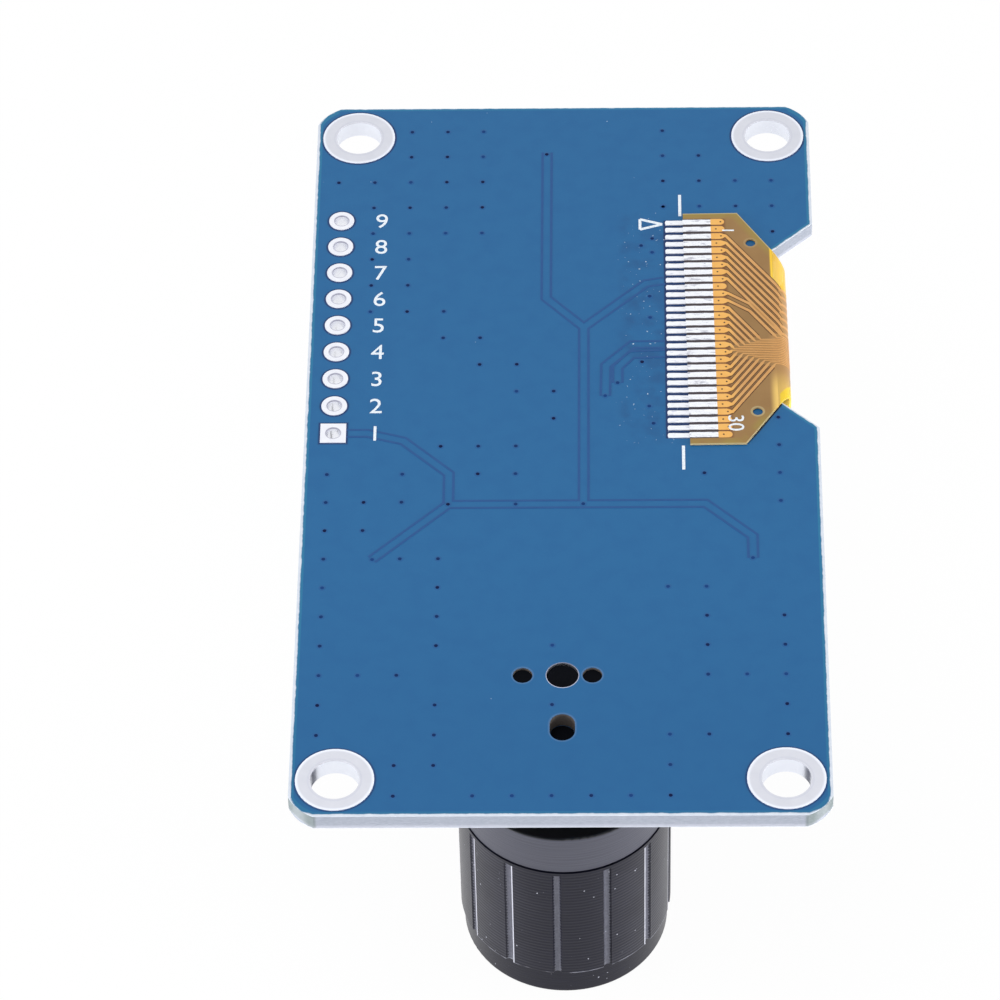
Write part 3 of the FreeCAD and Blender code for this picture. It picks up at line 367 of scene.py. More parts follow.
supply = [(-14.6, 0.86), (-13.18, 0.86), (-10.73, 0.14), (-7.59, -2.91)]
first_fork = (-7.59, -5.68)
branch_off = (1.48, -5.68)
second_fork = (1.48, 10.73)
to_right = [(9.64, -5.68), (12.73, -8.64), (12.73, -10.59)]
to_left = (-12.59, -10.59)
to_top = [(-1.12, 13.55), (-1.12, 27.95)]
to_pads = [(5.77, 14.91), (7.05, 15.17)]
left_hand, right_hand = (1,), (-1,)
outlines = [
    (left_hand, [*supply, first_fork, branch_off, second_fork, *to_top]),
    (left_hand, [*reversed(to_pads), second_fork, branch_off, *to_right]),
    (left_hand, [*reversed(to_top), second_fork, *to_pads]),
    (right_hand, [*supply, first_fork, to_left]),
    (right_hand, [to_left, first_fork, *to_right]),
    (left_hand + right_hand, [(2.95, 4.23), (3.0, 7.1), (4.8, 9.05), (7.05, 9.05)]),
    (left_hand + right_hand, [(3.8, 5.45), (3.8, 6.9), (4.75, 8.1), (7.05, 8.2)]),
]
shape = bmesh.new()
for number, (hands, line) in enumerate(outlines):
    for hand in hands:
        ribbon(shape, line, track_gap, 0, gap_tall + tall_step * number, hand * track_half)
make_piece("track_gaps", shape, gap_paint, "board")


# Vias: small drilled and plated holes that join the two copper faces, on a tenth of an
# inch grid. The mask tents most of them, so each is a faint raised ring with a dark middle.

grid_left = -15.81
grid_top = 30.095
via_radius = 0.13
via_ring = 0.25
via_slope = 0.6
via_tall = 0.012
plug_low = 0.008
plug_tall = 0.008
via_columns = [
    (2, 3, 4, 9), (2, 3, 4, 9, 10), (0, 1, 2, 3, 4, 9, 10, 11, 12), (1, 2, 3, 4, 9, 10, 11, 12),
    (1, 2, 3, 4, 12), (1, 2), (1, 2), (1, 2, 3), (3, 4), (4, 5), (5, 6), (6, 12), (3, 4, 5, 12),
    (0, 2, 4, 5, 10, 12), (0, 1, 2, 12), (0, 1), (0, 2, 3), (0, 3, 9, 10), (0, 3, 10, 12),
    (0, 3, 6, 10, 12), (0, 1, 2, 10, 11, 12), (0, 3, 6, 12), (0, 3, 9, 10, 12), (2, 3, 9),
    (2, 4, 5, 6, 7, 8, 9),
]
loose_vias = [
    (-7.61, -5.67), (-3.08, -5.68), (1.45, -5.68), (-12.57, -10.6), (12.7, -10.58), (-1.15, 27.76),
    (2.94, 4.24), (3.79, 5.45), (5.47, 7.41), (6.04, 13.67), (6.05, 11.63), (5.48, 18.61),
    (6.25, 19.3), (6.24, 17.94), (5.93, 3.25), (6.21, 1.65), (7.04, 22.42),
]
vias = loose_vias + [(grid_left + column * grid_pitch, grid_top - row * grid_pitch)
                     for row, columns in enumerate(via_columns) for column in columns]

ring_paint = Paint("mask_over_via", ink(26, 84, 142), 0.36, specular_ior_level=0.3)
ring_blur = ring_paint.grain(2)
ring_paint.lay("Base Color", ring_paint.mix(ring_blur, ink(22, 82, 136), ink(30, 92, 146)))
shape = bmesh.new()
for x, y in vias:
    disc(shape, x, y, via_ring, 0, via_tall, 16, via_slope)
    disc(shape, x, y, via_ring * via_slope, -board_thick - via_tall, via_tall, 16, 1 / via_slope)
make_piece("via_rings", shape, ring_paint, "board")

bore_paint = Paint("via_bore", ink(5, 16, 58), 0.5, specular_ior_level=0.1)
tented = bore_paint.grain(0.19, 0)
bore_paint.lay("Base Color", bore_paint.mix(bore_paint.step(tented, 0.36, 0.62), ink(5, 16, 58),
                                            ink(24, 62, 118)))
shape = bmesh.new()
for x, y in vias:
    disc(shape, x, y, via_radius, plug_low, plug_tall, 12)
    disc(shape, x, y, via_radius, -board_thick - plug_low - plug_tall, plug_tall, 12)
make_piece("via_bores", shape, bore_paint, "board")


# Printed marks: white ink on the mask. Two ticks and a triangle show where the flex goes,
# and the header's holes are numbered plainly from the square one up.

print_paint = Paint("white_print", ink(226, 232, 240), 0.55, specular_ior_level=0.3)
print_wear = print_paint.grain(9, 3)
print_paint.lay("Base Color", print_paint.mix(print_paint.step(print_wear, 0.45, 0.75),
                                              ink(236, 242, 248), ink(204, 216, 230)))
print_paint.bump(print_wear, 0.01)
ink_tall = 0.02
tick_x = 8.21
tick_width = 0.21
mark_width = 0.2
shape = bmesh.new()
ribbon(shape, [(tick_x, 21.5), (tick_x, 23.6)], tick_width, 0, ink_tall)
ribbon(shape, [(tick_x, -0.43), (tick_x, -2.6)], tick_width, 0, ink_tall)
mark = [(5.41, 21.2), (5.41, 20.2), (6.96, 20.7)]
for at, end in enumerate(mark):
    start = mark[at - 1]
    ribbon(shape, [start, end], mark_width, 0, ink_tall + tall_step * at)
make_piece("print_lines", shape, print_paint, "board")


def numeral(name, words, x, y, tall, low, turn, paint, body):
    """A plain number as a raised print, its lower left corner at x and y."""
    letters = bpy.data.curves.new(name, "FONT")
    letters.body = words
    letters.size = tall / 0.7
    letters.extrude = ink_tall / 2
    letters.resolution_u = 4
    drawn = bpy.data.objects.new(name, letters)
    mesh = bpy.data.meshes.new_from_object(drawn)
    bpy.data.objects.remove(drawn)
    bpy.data.curves.remove(letters)
    shape = bmesh.new()
    shape.from_mesh(mesh)
    bpy.data.meshes.remove(mesh)
    bmesh.ops.remove_doubles(shape, verts=shape.verts, dist=0.0001)
    place = Matrix.Translation((x, y, low + ink_tall / 2)) @ Matrix.Rotation(math.radians(turn), 4, "Z")
    bmesh.ops.transform(shape, matrix=place, verts=shape.verts)
    return make_piece(name, shape, paint, body)


number_left = -13.15
number_tall = 1.35
for number in range(1, header_count + 1):
    middle = header_low + (number - 1) * grid_pitch
    numeral(f"hole_number_{number}", str(number), number_left, middle - number_tall / 2, number_tall, 0, 0,
            print_paint, "board")


# Bright metal on the board: tin over copper, round the mounting holes, the header's holes
# and the encoder's hole. The rings are smooth, with a raised lip that carries a painted highlight, and
# their walls shine.

ring_tin = Paint("tinned_rings", ink(219, 222, 236), 0.4, metallic=0.3)
across, along, up = ring_tin.axes()
flow = ring_tin.grain(0.9, 3)
from_screw = span(across.unsigned() - screw_x, along.unsigned() - screw_y)
even = ring_tin.mix(flow, ink(204, 206, 216), ink(218, 219, 227))
even = ring_tin.mix(ring_tin.band(from_screw, 1.7, 1.76, 0.05) * 0.25, even, ink(186, 189, 206))
# The outer rim of each mounting ring is painted near white: a painted highlight on its lip.
even = ring_tin.mix(ring_tin.step(from_screw, 2.3, 2.5), even, ink(236, 240, 250))
by_encoder = 1 - ring_tin.step(span(across - shaft_x, along - shaft_y), 2.5, 2.7)
# Round the encoder's hole the tin is duller, and its far side is painted darker still: painted shade.
far_side_shade = ring_tin.step(along + flow * 0.6, shaft_y - 0.6, shaft_y + 1.4)
dull_and_shaded = ring_tin.mix(far_side_shade, ink(186, 191, 212), ink(120, 128, 152))
even = ring_tin.mix(by_encoder, even, dull_and_shaded)
wall = 1 - ring_tin.step(up, -0.06, 0.0)
bright = ring_tin.mix(flow, ink(230, 234, 246), ink(242, 245, 253))
ring_tin.lay("Base Color", ring_tin.mix(wall, even, bright))
ring_tin.lay("Metallic", 0.25 + wall * 0.7)
ring_tin.lay("Roughness", 0.4 - wall * 0.15 + flow * 0.06)
dress("board_mount_plating", ring_tin)
dress("encoder_hole_ring", ring_tin)

hole_tin = Paint("tinned_holes", ink(238, 240, 248), 0.36, metallic=0.3)
across, along, up = hole_tin.axes()
flow = hole_tin.grain(1.4, 3)
from_hole = span(across - header_x, (along - header_low).maths("PINGPONG", grid_pitch / 2))
pale = hole_tin.mix(flow, ink(226, 228, 238), ink(244, 245, 250))
# A darker grey band at each hole's inner edge: painted shade where the tin turns down into the hole.
pale = hole_tin.mix(1 - hole_tin.step(from_hole, 0.5, 0.58), pale, ink(172, 172, 190))
wall = 1 - hole_tin.step(up, -0.1, -0.02)
bright = hole_tin.mix(flow, ink(236, 238, 246), ink(248, 249, 254))
hole_tin.lay("Base Color", hole_tin.mix(wall, pale, bright))
hole_tin.lay("Metallic", 0.25 + wall * 0.7)
hole_tin.lay("Roughness", 0.36 - wall * 0.14 + flow * 0.08)
dress("board_header_plating", hole_tin)


# Display: two glass plates cemented together and taped to the board's front, a black
# polariser on the viewing side, and a bare driver chip on the ledge beside the flex.

glass_paint = Paint("display_glass", ink(24, 30, 34), 0.06, specular_ior_level=0.6, coat_weight=0.5)
left_right = glass_paint.axes()[0]
rim = glass_paint.step(left_right, 7.3, 7.9)
cloud = glass_paint.grain(0.3, 3)
glass_paint.lay("Base Color", glass_paint.mix(rim, glass_paint.mix(cloud, ink(14, 18, 20), ink(30, 36, 38)),
                                              glass_paint.mix(cloud, ink(70, 86, 84), ink(104, 120, 116))))
glass_paint.lay("Roughness", 0.05 + cloud * 0.06)
for node in ("display_rear_glass", "display_front_glass"):
    dress(node, glass_paint)

polariser_paint = Paint("polariser_film", ink(12, 13, 17), 0.16, specular_ior_level=0.5)
left_right, along, _ = polariser_paint.axes()
lit = polariser_paint.band(left_right, -10.2, 6.4, 0.05) * polariser_paint.band(along, -4.1, 25.7, 0.05)
haze = polariser_paint.grain(0.25, 3)
polariser_paint.lay("Base Color", polariser_paint.mix(
    lit, polariser_paint.mix(haze, ink(10, 11, 14), ink(17, 18, 23)),
    polariser_paint.mix(haze, ink(20, 24, 34), ink(27, 31, 42))))
polariser_paint.lay("Roughness", 0.12 + haze * 0.12)
dress("display_polariser", polariser_paint)

tape_paint = Paint("foam_tape", ink(22, 22, 24), 0.85)
cells = tape_paint.grain(5, 3)
tape_paint.lay("Base Color", tape_paint.mix(cells, ink(14, 14, 16), ink(40, 40, 43)))
tape_paint.bump(cells, 0.08)
dress("display_tape", tape_paint)

chip_paint = Paint("bare_chip", ink(58, 62, 72), 0.22, metallic=0.3)
crystal = chip_paint.grain(2.5, 2, (1, 3, 1))
chip_paint.lay("Base Color", chip_paint.mix(crystal, ink(46, 50, 60), ink(78, 82, 94)))
chip_paint.lay("Roughness", 0.16 + crystal * 0.16)
dress("display_driver_chip", chip_paint)


# Solder on the thirty pads: each has its own bead, rounded at the outer end and a little
# uneven along its sides, where the hot bar pressed the flex down on it.

row_count = 30
row_pitch = 0.7
pad_row_middle = 10.62
pad_left = 7.16
pad_right = 8.62
bead_width = 0.41
bead_round = 0.12
bead_low = 0.02
bead_tall = 0.06

solder_paint = Paint("pad_solder", ink(240, 243, 250), 0.34, metallic=0.3)
smear = solder_paint.grain(3.2, 4, (0.6, 1.6, 1))
solder_paint.lay("Base Color", solder_paint.mix(solder_paint.step(smear, 0.56, 0.72), ink(244, 246, 252),
                                                ink(206, 210, 224)))
solder_paint.lay("Roughness", 0.3 + smear * 0.2)
solder_paint.bump(smear, 0.04)
dress("display_solder_pads", solder_paint)


def rounded_end(line, widths, end, height, width, deep):
    """Adds the points of a half ellipse of that depth, so that a ribbon ends round."""
    for turn in (0, 25, 45, 65, 80, 88):
        line.append((end - deep * (1 - math.sin(math.radians(turn))), height))
        widths.append(width * math.cos(math.radians(turn)))


shape = bmesh.new()
for number in range(row_count):
    height = pad_row_middle + (number - (row_count - 1) / 2) * row_pitch
    line, widths = [], []
    rounded_end(line, widths, -pad_left, height, bead_width, bead_round)
    line = [(-x, y) for x, y in reversed(line)]
    widths.reverse()
    for part in (1, 2, 3, 4):
        line.append((line[-1][0] + (pad_right - pad_left - bead_round) / 4, height))
        widths.append(bead_width * (0.97 + 0.05 * math.sin(number * 2.3 + part * 1.7)))
    ribbon(shape, line, widths, bead_low, bead_tall)
make_piece("pad_beads", shape, solder_paint, "board")


# Flex circuit: amber film with copper tracks under it. Its thirty bared fingers are soldered
# down on the board's pads by a hot bar, and the film folds round the notch to the glass.

film_x = 14.6
film_y = 10.64
film_turn = math.radians(0.7)
film_top = 0.17
film_low = -2.3
film_half = 11.0
film_back = 6.06
fold_radius = 0.87
fold_start = 0.07
finger_end = -4.14
land_end = -3.38
knee = -3.1
steep = 1.45
tooling_x = -1.41
tooling_y = 8.05


def on_film(paint):
    """Where a point is on the laid film, from the middle of the notch's edge."""
    turned = paint.node("ShaderNodeVectorRotate", {"rotation_type": "Z_AXIS"},
                        {"Vector": paint.spot, "Center": (film_x, film_y, 0), "Angle": -film_turn})
    return paint.axes(paint.node("ShaderNodeVectorMath", {"operation": "SUBTRACT"},
                                 {0: turned, 1: (film_x, film_y, 0)}))


film_paint = Paint("amber_film", ink(159, 129, 95), 0.3, specular_ior_level=0.45, emission_strength=0.5)
across, along, up = on_film(film_paint)
cloudy = film_paint.grain(0.5, 3)
fine = film_paint.grain(6, 2)

# Distances from the film's two slanted edges, and from its nearest edge.
upper_slope = 3.892 - across * 0.8486 - along * 0.5289
lower_slope = 4.178 - across * 0.8339 + along * 0.5519
to_edge = (film_half - along.unsigned()).least(upper_slope.least(lower_slope))
amber = film_paint.mix(cloudy, ink(138, 102, 54), ink(156, 120, 72))
olive = (1 - film_paint.step(to_edge, 0.15, 0.75)) * film_paint.step(cloudy, 0.3, 0.6)
amber = film_paint.mix(olive * 0.75, amber, ink(150, 130, 58))
hole = span(across - tooling_x, along.unsigned() - tooling_y)
hole_rim = film_paint.band(hole, 0.36, 0.46, 0.06) * (0.2 + (along < 0) * 0.35)
amber = film_paint.mix(hole_rim, amber, ink(190, 174, 128))
# A pale line along the film's cut edges: a painted highlight.
amber = film_paint.mix((1 - film_paint.step(to_edge, 0.0, 0.1)) * 0.6, amber, ink(220, 206, 160))

# Between the copper lands the film is painted darker, and between the bared fingers darkest: partly the
# film's own tone and partly painted shade between the raised copper.
in_rows = film_paint.step(film_half - along.unsigned(), 0.5, 0.6)
amber = film_paint.mix((1 - film_paint.step(across, land_end + 0.1, land_end + 0.4)) * in_rows, amber,
                       ink(122, 78, 38))
amber = film_paint.mix((1 - film_paint.step(across, finger_end, finger_end + 0.1)) * in_rows, amber,
                       ink(56, 46, 52))

# Where the film hangs over the notch with no copper under it, its bright yellow is painted light standing
# in for light coming through it, and the fold and the lower corner glow with a painted emission.
past_edge = film_paint.step(across, -0.18 - (along < 0) * 0.4, -0.04)
clear_top = film_paint.step(along + across * steep, 4.3, 4.7)
clear_low = 1 - film_paint.step(along, -6.3, -3.9)
clear = clear_top.most(clear_low)
backlit = film_paint.mix(cloudy, ink(244, 190, 26), ink(252, 214, 68))
over_air = film_paint.mix(clear_top, film_paint.mix(cloudy, ink(160, 118, 66), ink(180, 138, 86)), backlit)
over_air = film_paint.mix(clear_low, over_air, ink(232, 192, 104))
lit_corner = film_paint.step(across, 0.1, 0.2) * (along < -4)
lit_corner = lit_corner * (1 - film_paint.step(lower_slope, 0.44, 0.54))
in_fold = film_paint.step(across, 0, 0.1) * (1 - film_paint.step(along, -5.6, -4.4))
in_fold = in_fold * (1 - film_paint.step(up, -1.0, -0.8))
over_air = film_paint.mix(lit_corner, over_air, ink(242, 208, 50))
film_paint.lay("Base Color", film_paint.mix(past_edge, amber, over_air))
painted_glow = film_paint.mix(lit_corner, ink(0, 0, 0), ink(112, 98, 24))
film_paint.lay("Emission Color", film_paint.mix(in_fold, painted_glow, ink(236, 206, 60)))
film_paint.lay("Alpha", 1 - film_paint.step(across, 0.0, 0.06) * clear * 0.3)
film_paint.lay("Roughness", 0.26 + cloudy * 0.12)
film_paint.bump(cloudy + fine * 0.1, 0.03)
dress("display_flex", film_paint)


def lay_on_film(shape):
    """Wraps a flat drawing, x along the film from the board's notch, round the fold and into place."""
    quarter = fold_radius * math.pi / 2
    drop = film_top - film_low - 2 * fold_radius
    for corner in shape.verts:
        along, lift = corner.co.x - fold_start, corner.co.z
        reach = fold_radius + lift
        if along > 2 * quarter + drop:
            corner.co.x = fold_start - (along - 2 * quarter - drop)
            corner.co.z = film_low - lift
        elif along > quarter + drop:
            turn = (along - quarter - drop) / fold_radius
            corner.co.x = fold_start + reach * math.cos(turn)
            corner.co.z = film_low + fold_radius - reach * math.sin(turn)
        elif along > quarter:
            corner.co.x = fold_start + reach
            corner.co.z = film_top - fold_radius - (along - quarter)
        elif along > 0:
            turn = along / fold_radius
            corner.co.x = fold_start + reach * math.sin(turn)
            corner.co.z = film_top - fold_radius + reach * math.cos(turn)
        else:
            corner.co.z = film_top + lift
    place = Matrix.Translation((film_x, film_y, 0)) @ Matrix.Rotation(film_turn, 4, "Z")
    bmesh.ops.transform(shape, matrix=place, verts=shape.verts)
    bmesh.ops.recalc_face_normals(shape, faces=shape.faces)


def bend_finely(line, widths):
    """Adds points where a line goes round the fold, so that it bends with the film."""
    spots, broads = [line[0]], [widths[0]]
    for start, end, first, last in zip(line, line[1:], widths, widths[1:]):
        parts = max(1, math.ceil((end[0] - start[0]) / 0.14)) if end[0] > fold_start else 1
        for part in range(1, parts + 1):
            share = part / parts
            spots.append(tuple(a + (b - a) * share for a, b in zip(start, end)))
            broads.append(first + (last - first) * share)
    return spots, broads


rows = [((row_count + 1) / 2 - number) * row_pitch for number in range(1, row_count + 1)]
finger_width = 0.465
land_width = 0.55
track_width = 0.22
packed_width = 0.085
packed_pitch = 0.165
packed_first = -0.98
jog_along = 1.45
jog_down = 1.03
sink = 0.02
finger_tall = 0.02
copper_tall = 0.014
shade_tall = 0.006

finger_paint = Paint("soldered_finger", ink(236, 240, 248), 0.34, metallic=0.3)
smear = finger_paint.grain(2.6, 4, (0.5, 1.8, 1))
scratch = finger_paint.grain(11, 3)
dents = (finger_paint.step(smear, 0.55, 0.66) * 0.7 + finger_paint.step(scratch, 0.6, 0.7) * 0.55).least(1)
finger_paint.lay("Base Color", finger_paint.mix(dents, ink(242, 244, 250), ink(166, 166, 180)))
finger_paint.lay("Roughness", 0.28 + smear * 0.3)
finger_paint.bump(smear + scratch * 0.4, 0.05)
shape = bmesh.new()
for number, height in enumerate(rows):
    line = [(-film_back - 0.03 + part * (finger_end + film_back + 0.03) / 6, height) for part in range(7)]
    widths = [finger_width * (0.97 + 0.04 * math.sin(number * 1.9 + part * 2.1)) for part in range(7)]
    ribbon(shape, line, widths, -sink, sink + finger_tall)
lay_on_film(shape)
make_piece("flex_fingers", shape, finger_paint, "board")

land_paint = Paint("copper_under_film", ink(219, 160, 95), 0.3, specular_ior_level=0.45)
glow = land_paint.grain(1.2, 3)
across = on_film(land_paint)[0]
far_out = land_paint.step(across, land_end, land_end + 0.9)
lands = land_paint.mix(glow, ink(230, 164, 76), ink(244, 190, 104))
lines = land_paint.mix(glow, ink(196, 140, 78), ink(216, 164, 100))
land_paint.lay("Base Color", land_paint.mix(far_out, lands, lines))
land_paint.bump(glow, 0.02)

# Dark ribbons along both sides of the tracks: a painted shadow of the raised copper on the film.
shade_paint = Paint("painted_shadow_beside_copper", ink(112, 74, 40), 0.34, specular_ior_level=0.4)
glow = shade_paint.grain(1.2, 3)
shade_paint.lay("Base Color", shade_paint.mix(glow, ink(70, 40, 12), ink(96, 60, 26)))

stubs = (1, 2, 10, 28, 29, 30)
lit_shape = bmesh.new()
dark_shape = bmesh.new()
for number, height in enumerate(rows, 1):
    if number in stubs:
        line, widths = [(finger_end, height)], [land_width]
        rounded_end(line, widths, land_end + 0.2, height, land_width, land_width / 2)
        ribbon(lit_shape, line, widths, -sink, sink + copper_tall)
        continue
    line = [(finger_end, height), (land_end - 0.1, height), (land_end + 0.08, height), (knee, height)]
    widths = [land_width, land_width, land_width * 0.75, track_width]
    if number < 10:
        bend = 0.5
        last_height = height - (bend - knee) * steep
        line.append((bend, last_height))
        widths.append(track_width)
    else:
        last_height = packed_first - (number - 11) * packed_pitch
        start, fall = knee, height - last_height
        if number in (11, 12):
            start, fall = knee + jog_along, fall - jog_down
            line.append((start, height - jog_down))
            widths.append(track_width)
        taper = min(0.3, abs(fall) / 2)
        line.append((start + (abs(fall) - taper) / steep, last_height + math.copysign(taper, fall)))
        widths.append(track_width)
        line.append((start + abs(fall) / steep, last_height))
        widths.append(packed_width)
    shaded = [(x, y) for x, y in line[3:]][:-1] if number > 10 else line[3:]
    if len(shaded) > 1:
        spots, broads = bend_finely([line[2]] + shaded, [land_width] + [track_width + 0.13] * len(shaded))
        ribbon(dark_shape, spots, broads, -sink, sink + shade_tall)
    line += [(4.2, last_height), (7.9, last_height)]
    widths += [widths[-1]] * 2
    ribbon(lit_shape, *bend_finely(line, widths), -sink, sink + copper_tall)
lay_on_film(lit_shape)
make_piece("flex_tracks", lit_shape, land_paint, "board")
lay_on_film(dark_shape)
make_piece("flex_track_shadows", dark_shape, shade_paint, "board")

speck_radius = 0.065
speck_low = 0.008
speck_tall = 0.012
speck_paint = Paint("film_via", ink(70, 40, 18), 0.5)
speck_blur = speck_paint.grain(8)
speck_paint.lay("Base Color", speck_paint.mix(speck_blur, ink(52, 28, 12), ink(96, 58, 26)))
shape = bmesh.new()
for number, height in enumerate(rows):
    from_finger = 0.36 if number % 2 else 0.7
    disc(shape, finger_end + from_finger, height, speck_radius, speck_low, speck_tall, 10)
lay_on_film(shape)
make_piece("flex_vias", shape, speck_paint, "board")

turned_down = -90
numeral("flex_number_1", "1", 11.14, 20.2, 0.85, film_top, turned_down, print_paint, "board")
numeral("flex_number_30", "30", 11.28, 2.28, 1.08, film_top, turned_down, print_paint, "board")


# Rotary encoder: a black moulded base with pegs in the board, tinned leads, a die-cast top
# with a threaded bushing, and a sheet steel bracket folded over it.

moulding_paint = Paint("black_moulding", ink(26, 26, 30), 0.5)
skin = moulding_paint.grain(6, 3)
moulding_paint.lay("Base Color", moulding_paint.mix(skin, ink(18, 18, 21), ink(38, 38, 43)))
moulding_paint.lay("Roughness", 0.42 + skin * 0.2)
moulding_paint.bump(skin, 0.02)
for node in ("left_button_base", "right_button_base", "left_button_plunger", "right_button_plunger",
             "voltage_regulator"):
    dress(node, moulding_paint)
base_paint = Paint("matt_black_moulding", ink(10, 10, 14), 0.7, specular_ior_level=0.03)
skin = base_paint.grain(6, 3)
base_paint.lay("Base Color", base_paint.mix(skin, ink(5, 7, 12), ink(14, 15, 20)))
base_paint.bump(skin, 0.02)
dress("encoder_base", base_paint)

lead_paint = Paint("tinned_lead", ink(204, 205, 212), 0.32, metallic=0.85)
drawn = lead_paint.grain(4, 3, (3, 1, 1))
lead_paint.lay("Base Color", lead_paint.mix(drawn, ink(184, 185, 194), ink(222, 222, 230)))
lead_paint.lay("Roughness", 0.24 + drawn * 0.2)
lead_paint.bump(drawn, 0.02)
for node in ("encoder_terminals", "left_button_terminals", "right_button_terminals", "regulator_leads",
             "chip_resistor_caps", "chip_capacitor_caps"):
    dress(node, lead_paint)

zinc_paint = Paint("die_cast_zinc", ink(178, 180, 186), 0.38, metallic=0.9)
cast = zinc_paint.grain(3, 4)
zinc_paint.lay("Base Color", zinc_paint.mix(cast, ink(158, 160, 168), ink(196, 198, 204)))
zinc_paint.lay("Roughness", 0.3 + cast * 0.22)
zinc_paint.bump(cast, 0.03)
dress("encoder_bushing", zinc_paint)

steel_paint = Paint("rolled_steel", ink(190, 191, 198), 0.28, metallic=0.95)
rolled = steel_paint.grain(2.5, 4, (6, 1, 1))
steel_paint.lay("Base Color", steel_paint.mix(rolled, ink(170, 171, 180), ink(206, 207, 213)))
steel_paint.lay("Roughness", 0.2 + rolled * 0.2)
steel_paint.bump(rolled, 0.015)
for node in ("encoder_bracket", "left_button_cover", "right_button_cover", "detent_spring",
             "encoder_push_dome", "left_button_dome", "right_button_dome"):
    dress(node, steel_paint)

brass_paint = Paint("contact_brass", ink(208, 168, 92), 0.3, metallic=0.9)
plated = brass_paint.grain(4, 3)
brass_paint.lay("Base Color", brass_paint.mix(plated, ink(190, 148, 74), ink(220, 184, 112)))
brass_paint.lay("Roughness", 0.22 + plated * 0.2)
for node in ("encoder_contacts", "encoder_code_disc"):
    dress(node, brass_paint)

rotor_paint = Paint("rotor_moulding", ink(214, 212, 204), 0.5)
pale = rotor_paint.grain(3, 3)
rotor_paint.lay("Base Color", rotor_paint.mix(pale, ink(204, 202, 192), ink(224, 222, 214)))
rotor_paint.bump(pale, 0.02)
dress("encoder_rotor", rotor_paint)

bushing_low = -7.7
bushing_radius = 3.5
thread_pitch = 0.75
thread_deep = 0.12
thread_turns = 6
steps_a_turn = 40
shape = bmesh.new()
ridge = [shape.verts.new((bushing_radius + out, 0, height)) for out, height in
         ((-0.1, 0.3), (thread_deep, 0.06), (thread_deep, -0.06), (-0.1, -0.3))]
ridge_edges = [shape.edges.new((ridge[at - 1], ridge[at])) for at in range(len(ridge))]
bmesh.ops.spin(shape, geom=ridge + ridge_edges, axis=(0, 0, 1), cent=(0, 0, 0),
               angle=ALL_ROUND * thread_turns, dvec=(0, 0, -thread_pitch / steps_a_turn),
               steps=steps_a_turn * thread_turns)
bmesh.ops.holes_fill(shape, edges=[edge for edge in shape.edges if edge.is_boundary])
bmesh.ops.translate(shape, verts=shape.verts, vec=(shaft_x, shaft_y, bushing_low - 0.15))
bmesh.ops.recalc_face_normals(shape, faces=shape.faces)
make_piece("bushing_thread", shape, zinc_paint, "board")


# Snap domes: thin springs of stainless steel, one under the encoder's shaft and one under
# each button. A dome flattens as its plunger comes down, which is the click that a finger feels.

dome_thick = 0.1
button_x = 12
button_y = -16.2


def snap_dome(name, node, x, y, rim, radius, tall):
    """A shallow cap that stands on its rim and opens upwards."""
    shape = bmesh.new()
    ball = (radius * radius + tall * tall) / (2 * tall)
    ends = []
    for skin in (0, dome_thick):
        tip = shape.verts.new((0, 0, skin - tall))
        arc = bmesh.ops.spin(shape, geom=[tip], axis=(0, -1, 0), cent=(0, 0, ball - tall),
                             angle=math.acos((ball - tall) / (ball - skin)), steps=8)
        ends += corners_of(arc["geom_last"])
    shape.edges.new(ends)
    bmesh.ops.spin(shape, geom=shape.verts[:] + shape.edges[:], axis=(0, 0, 1), cent=(0, 0, 0),
                   angle=ALL_ROUND, steps=32, use_merge=True)
    bmesh.ops.remove_doubles(shape, verts=shape.verts, dist=0.001)
    bmesh.ops.translate(shape, verts=shape.verts, vec=(x, y, rim))
    bmesh.ops.recalc_face_normals(shape, faces=shape.faces)
    piece = make_piece(name, shape, steel_paint, "board")
    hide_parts(node)
    x * MM
    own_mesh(piece)


snap_dome("shaft_snap_dome", "encoder_push_dome", shaft_x, shaft_y,
          rim=-1.8, radius=2.1, tall=0.7)
for side, x in (("left", -button_x), ("right", button_x)):
    snap_dome(f"{side}_snap_dome", f"{side}_button_dome", x, button_y,
              rim=-1.9, radius=2.0, tall=0.65)


# Knob: a grey plastic core pressed on the D-cut steel shaft, inside a thin turned aluminium
# cup that is anodised black, with thirteen cut flutes and a smaller plain band at its end.

axle_paint = Paint("turned_steel", ink(196, 197, 202), 0.24, metallic=0.95)
turning = axle_paint.grain(3, 3, (0.3, 0.3, 8))
axle_paint.lay("Base Color", axle_paint.mix(turning, ink(176, 177, 184), ink(210, 211, 216)))
axle_paint.lay("Roughness", 0.18 + turning * 0.18)
axle_paint.bump(turning, 0.01)
dress("encoder_shaft", axle_paint)

collar_end = -8.4
collar_inside = 5.8
core_paint = Paint("knob_core", ink(84, 86, 96), 0.36)
turning = core_paint.grain(1.5, 3, (0.15, 0.15, 6))
across, along, up = core_paint.axes()
from_axis = span(across - shaft_x, along - shaft_y)
# The core's hollow and its end face towards the board are painted near black: painted shade under the
# board.
inside = 1 - core_paint.step(from_axis, collar_inside, collar_inside + 0.15)
shaded_end_face = core_paint.step(up, collar_end - 0.12, collar_end - 0.05)
grey = core_paint.mix(turning, ink(56, 57, 70), ink(76, 77, 90))
core_paint.lay("Base Color", core_paint.mix(inside.most(shaded_end_face), grey, ink(2, 2, 4)))
core_paint.lay("Roughness", 0.3 + turning * 0.16)
core_paint.bump(turning, 0.02)
dress("knob_insert", core_paint)

knob_radius = 7.13
flute_count = 13
flute_first = math.radians(-94.1)
flute_half = 0.21
flute_start = -12.10
flute_end = -22.50
cup_end = -24.95
turned_pitch = 0.304

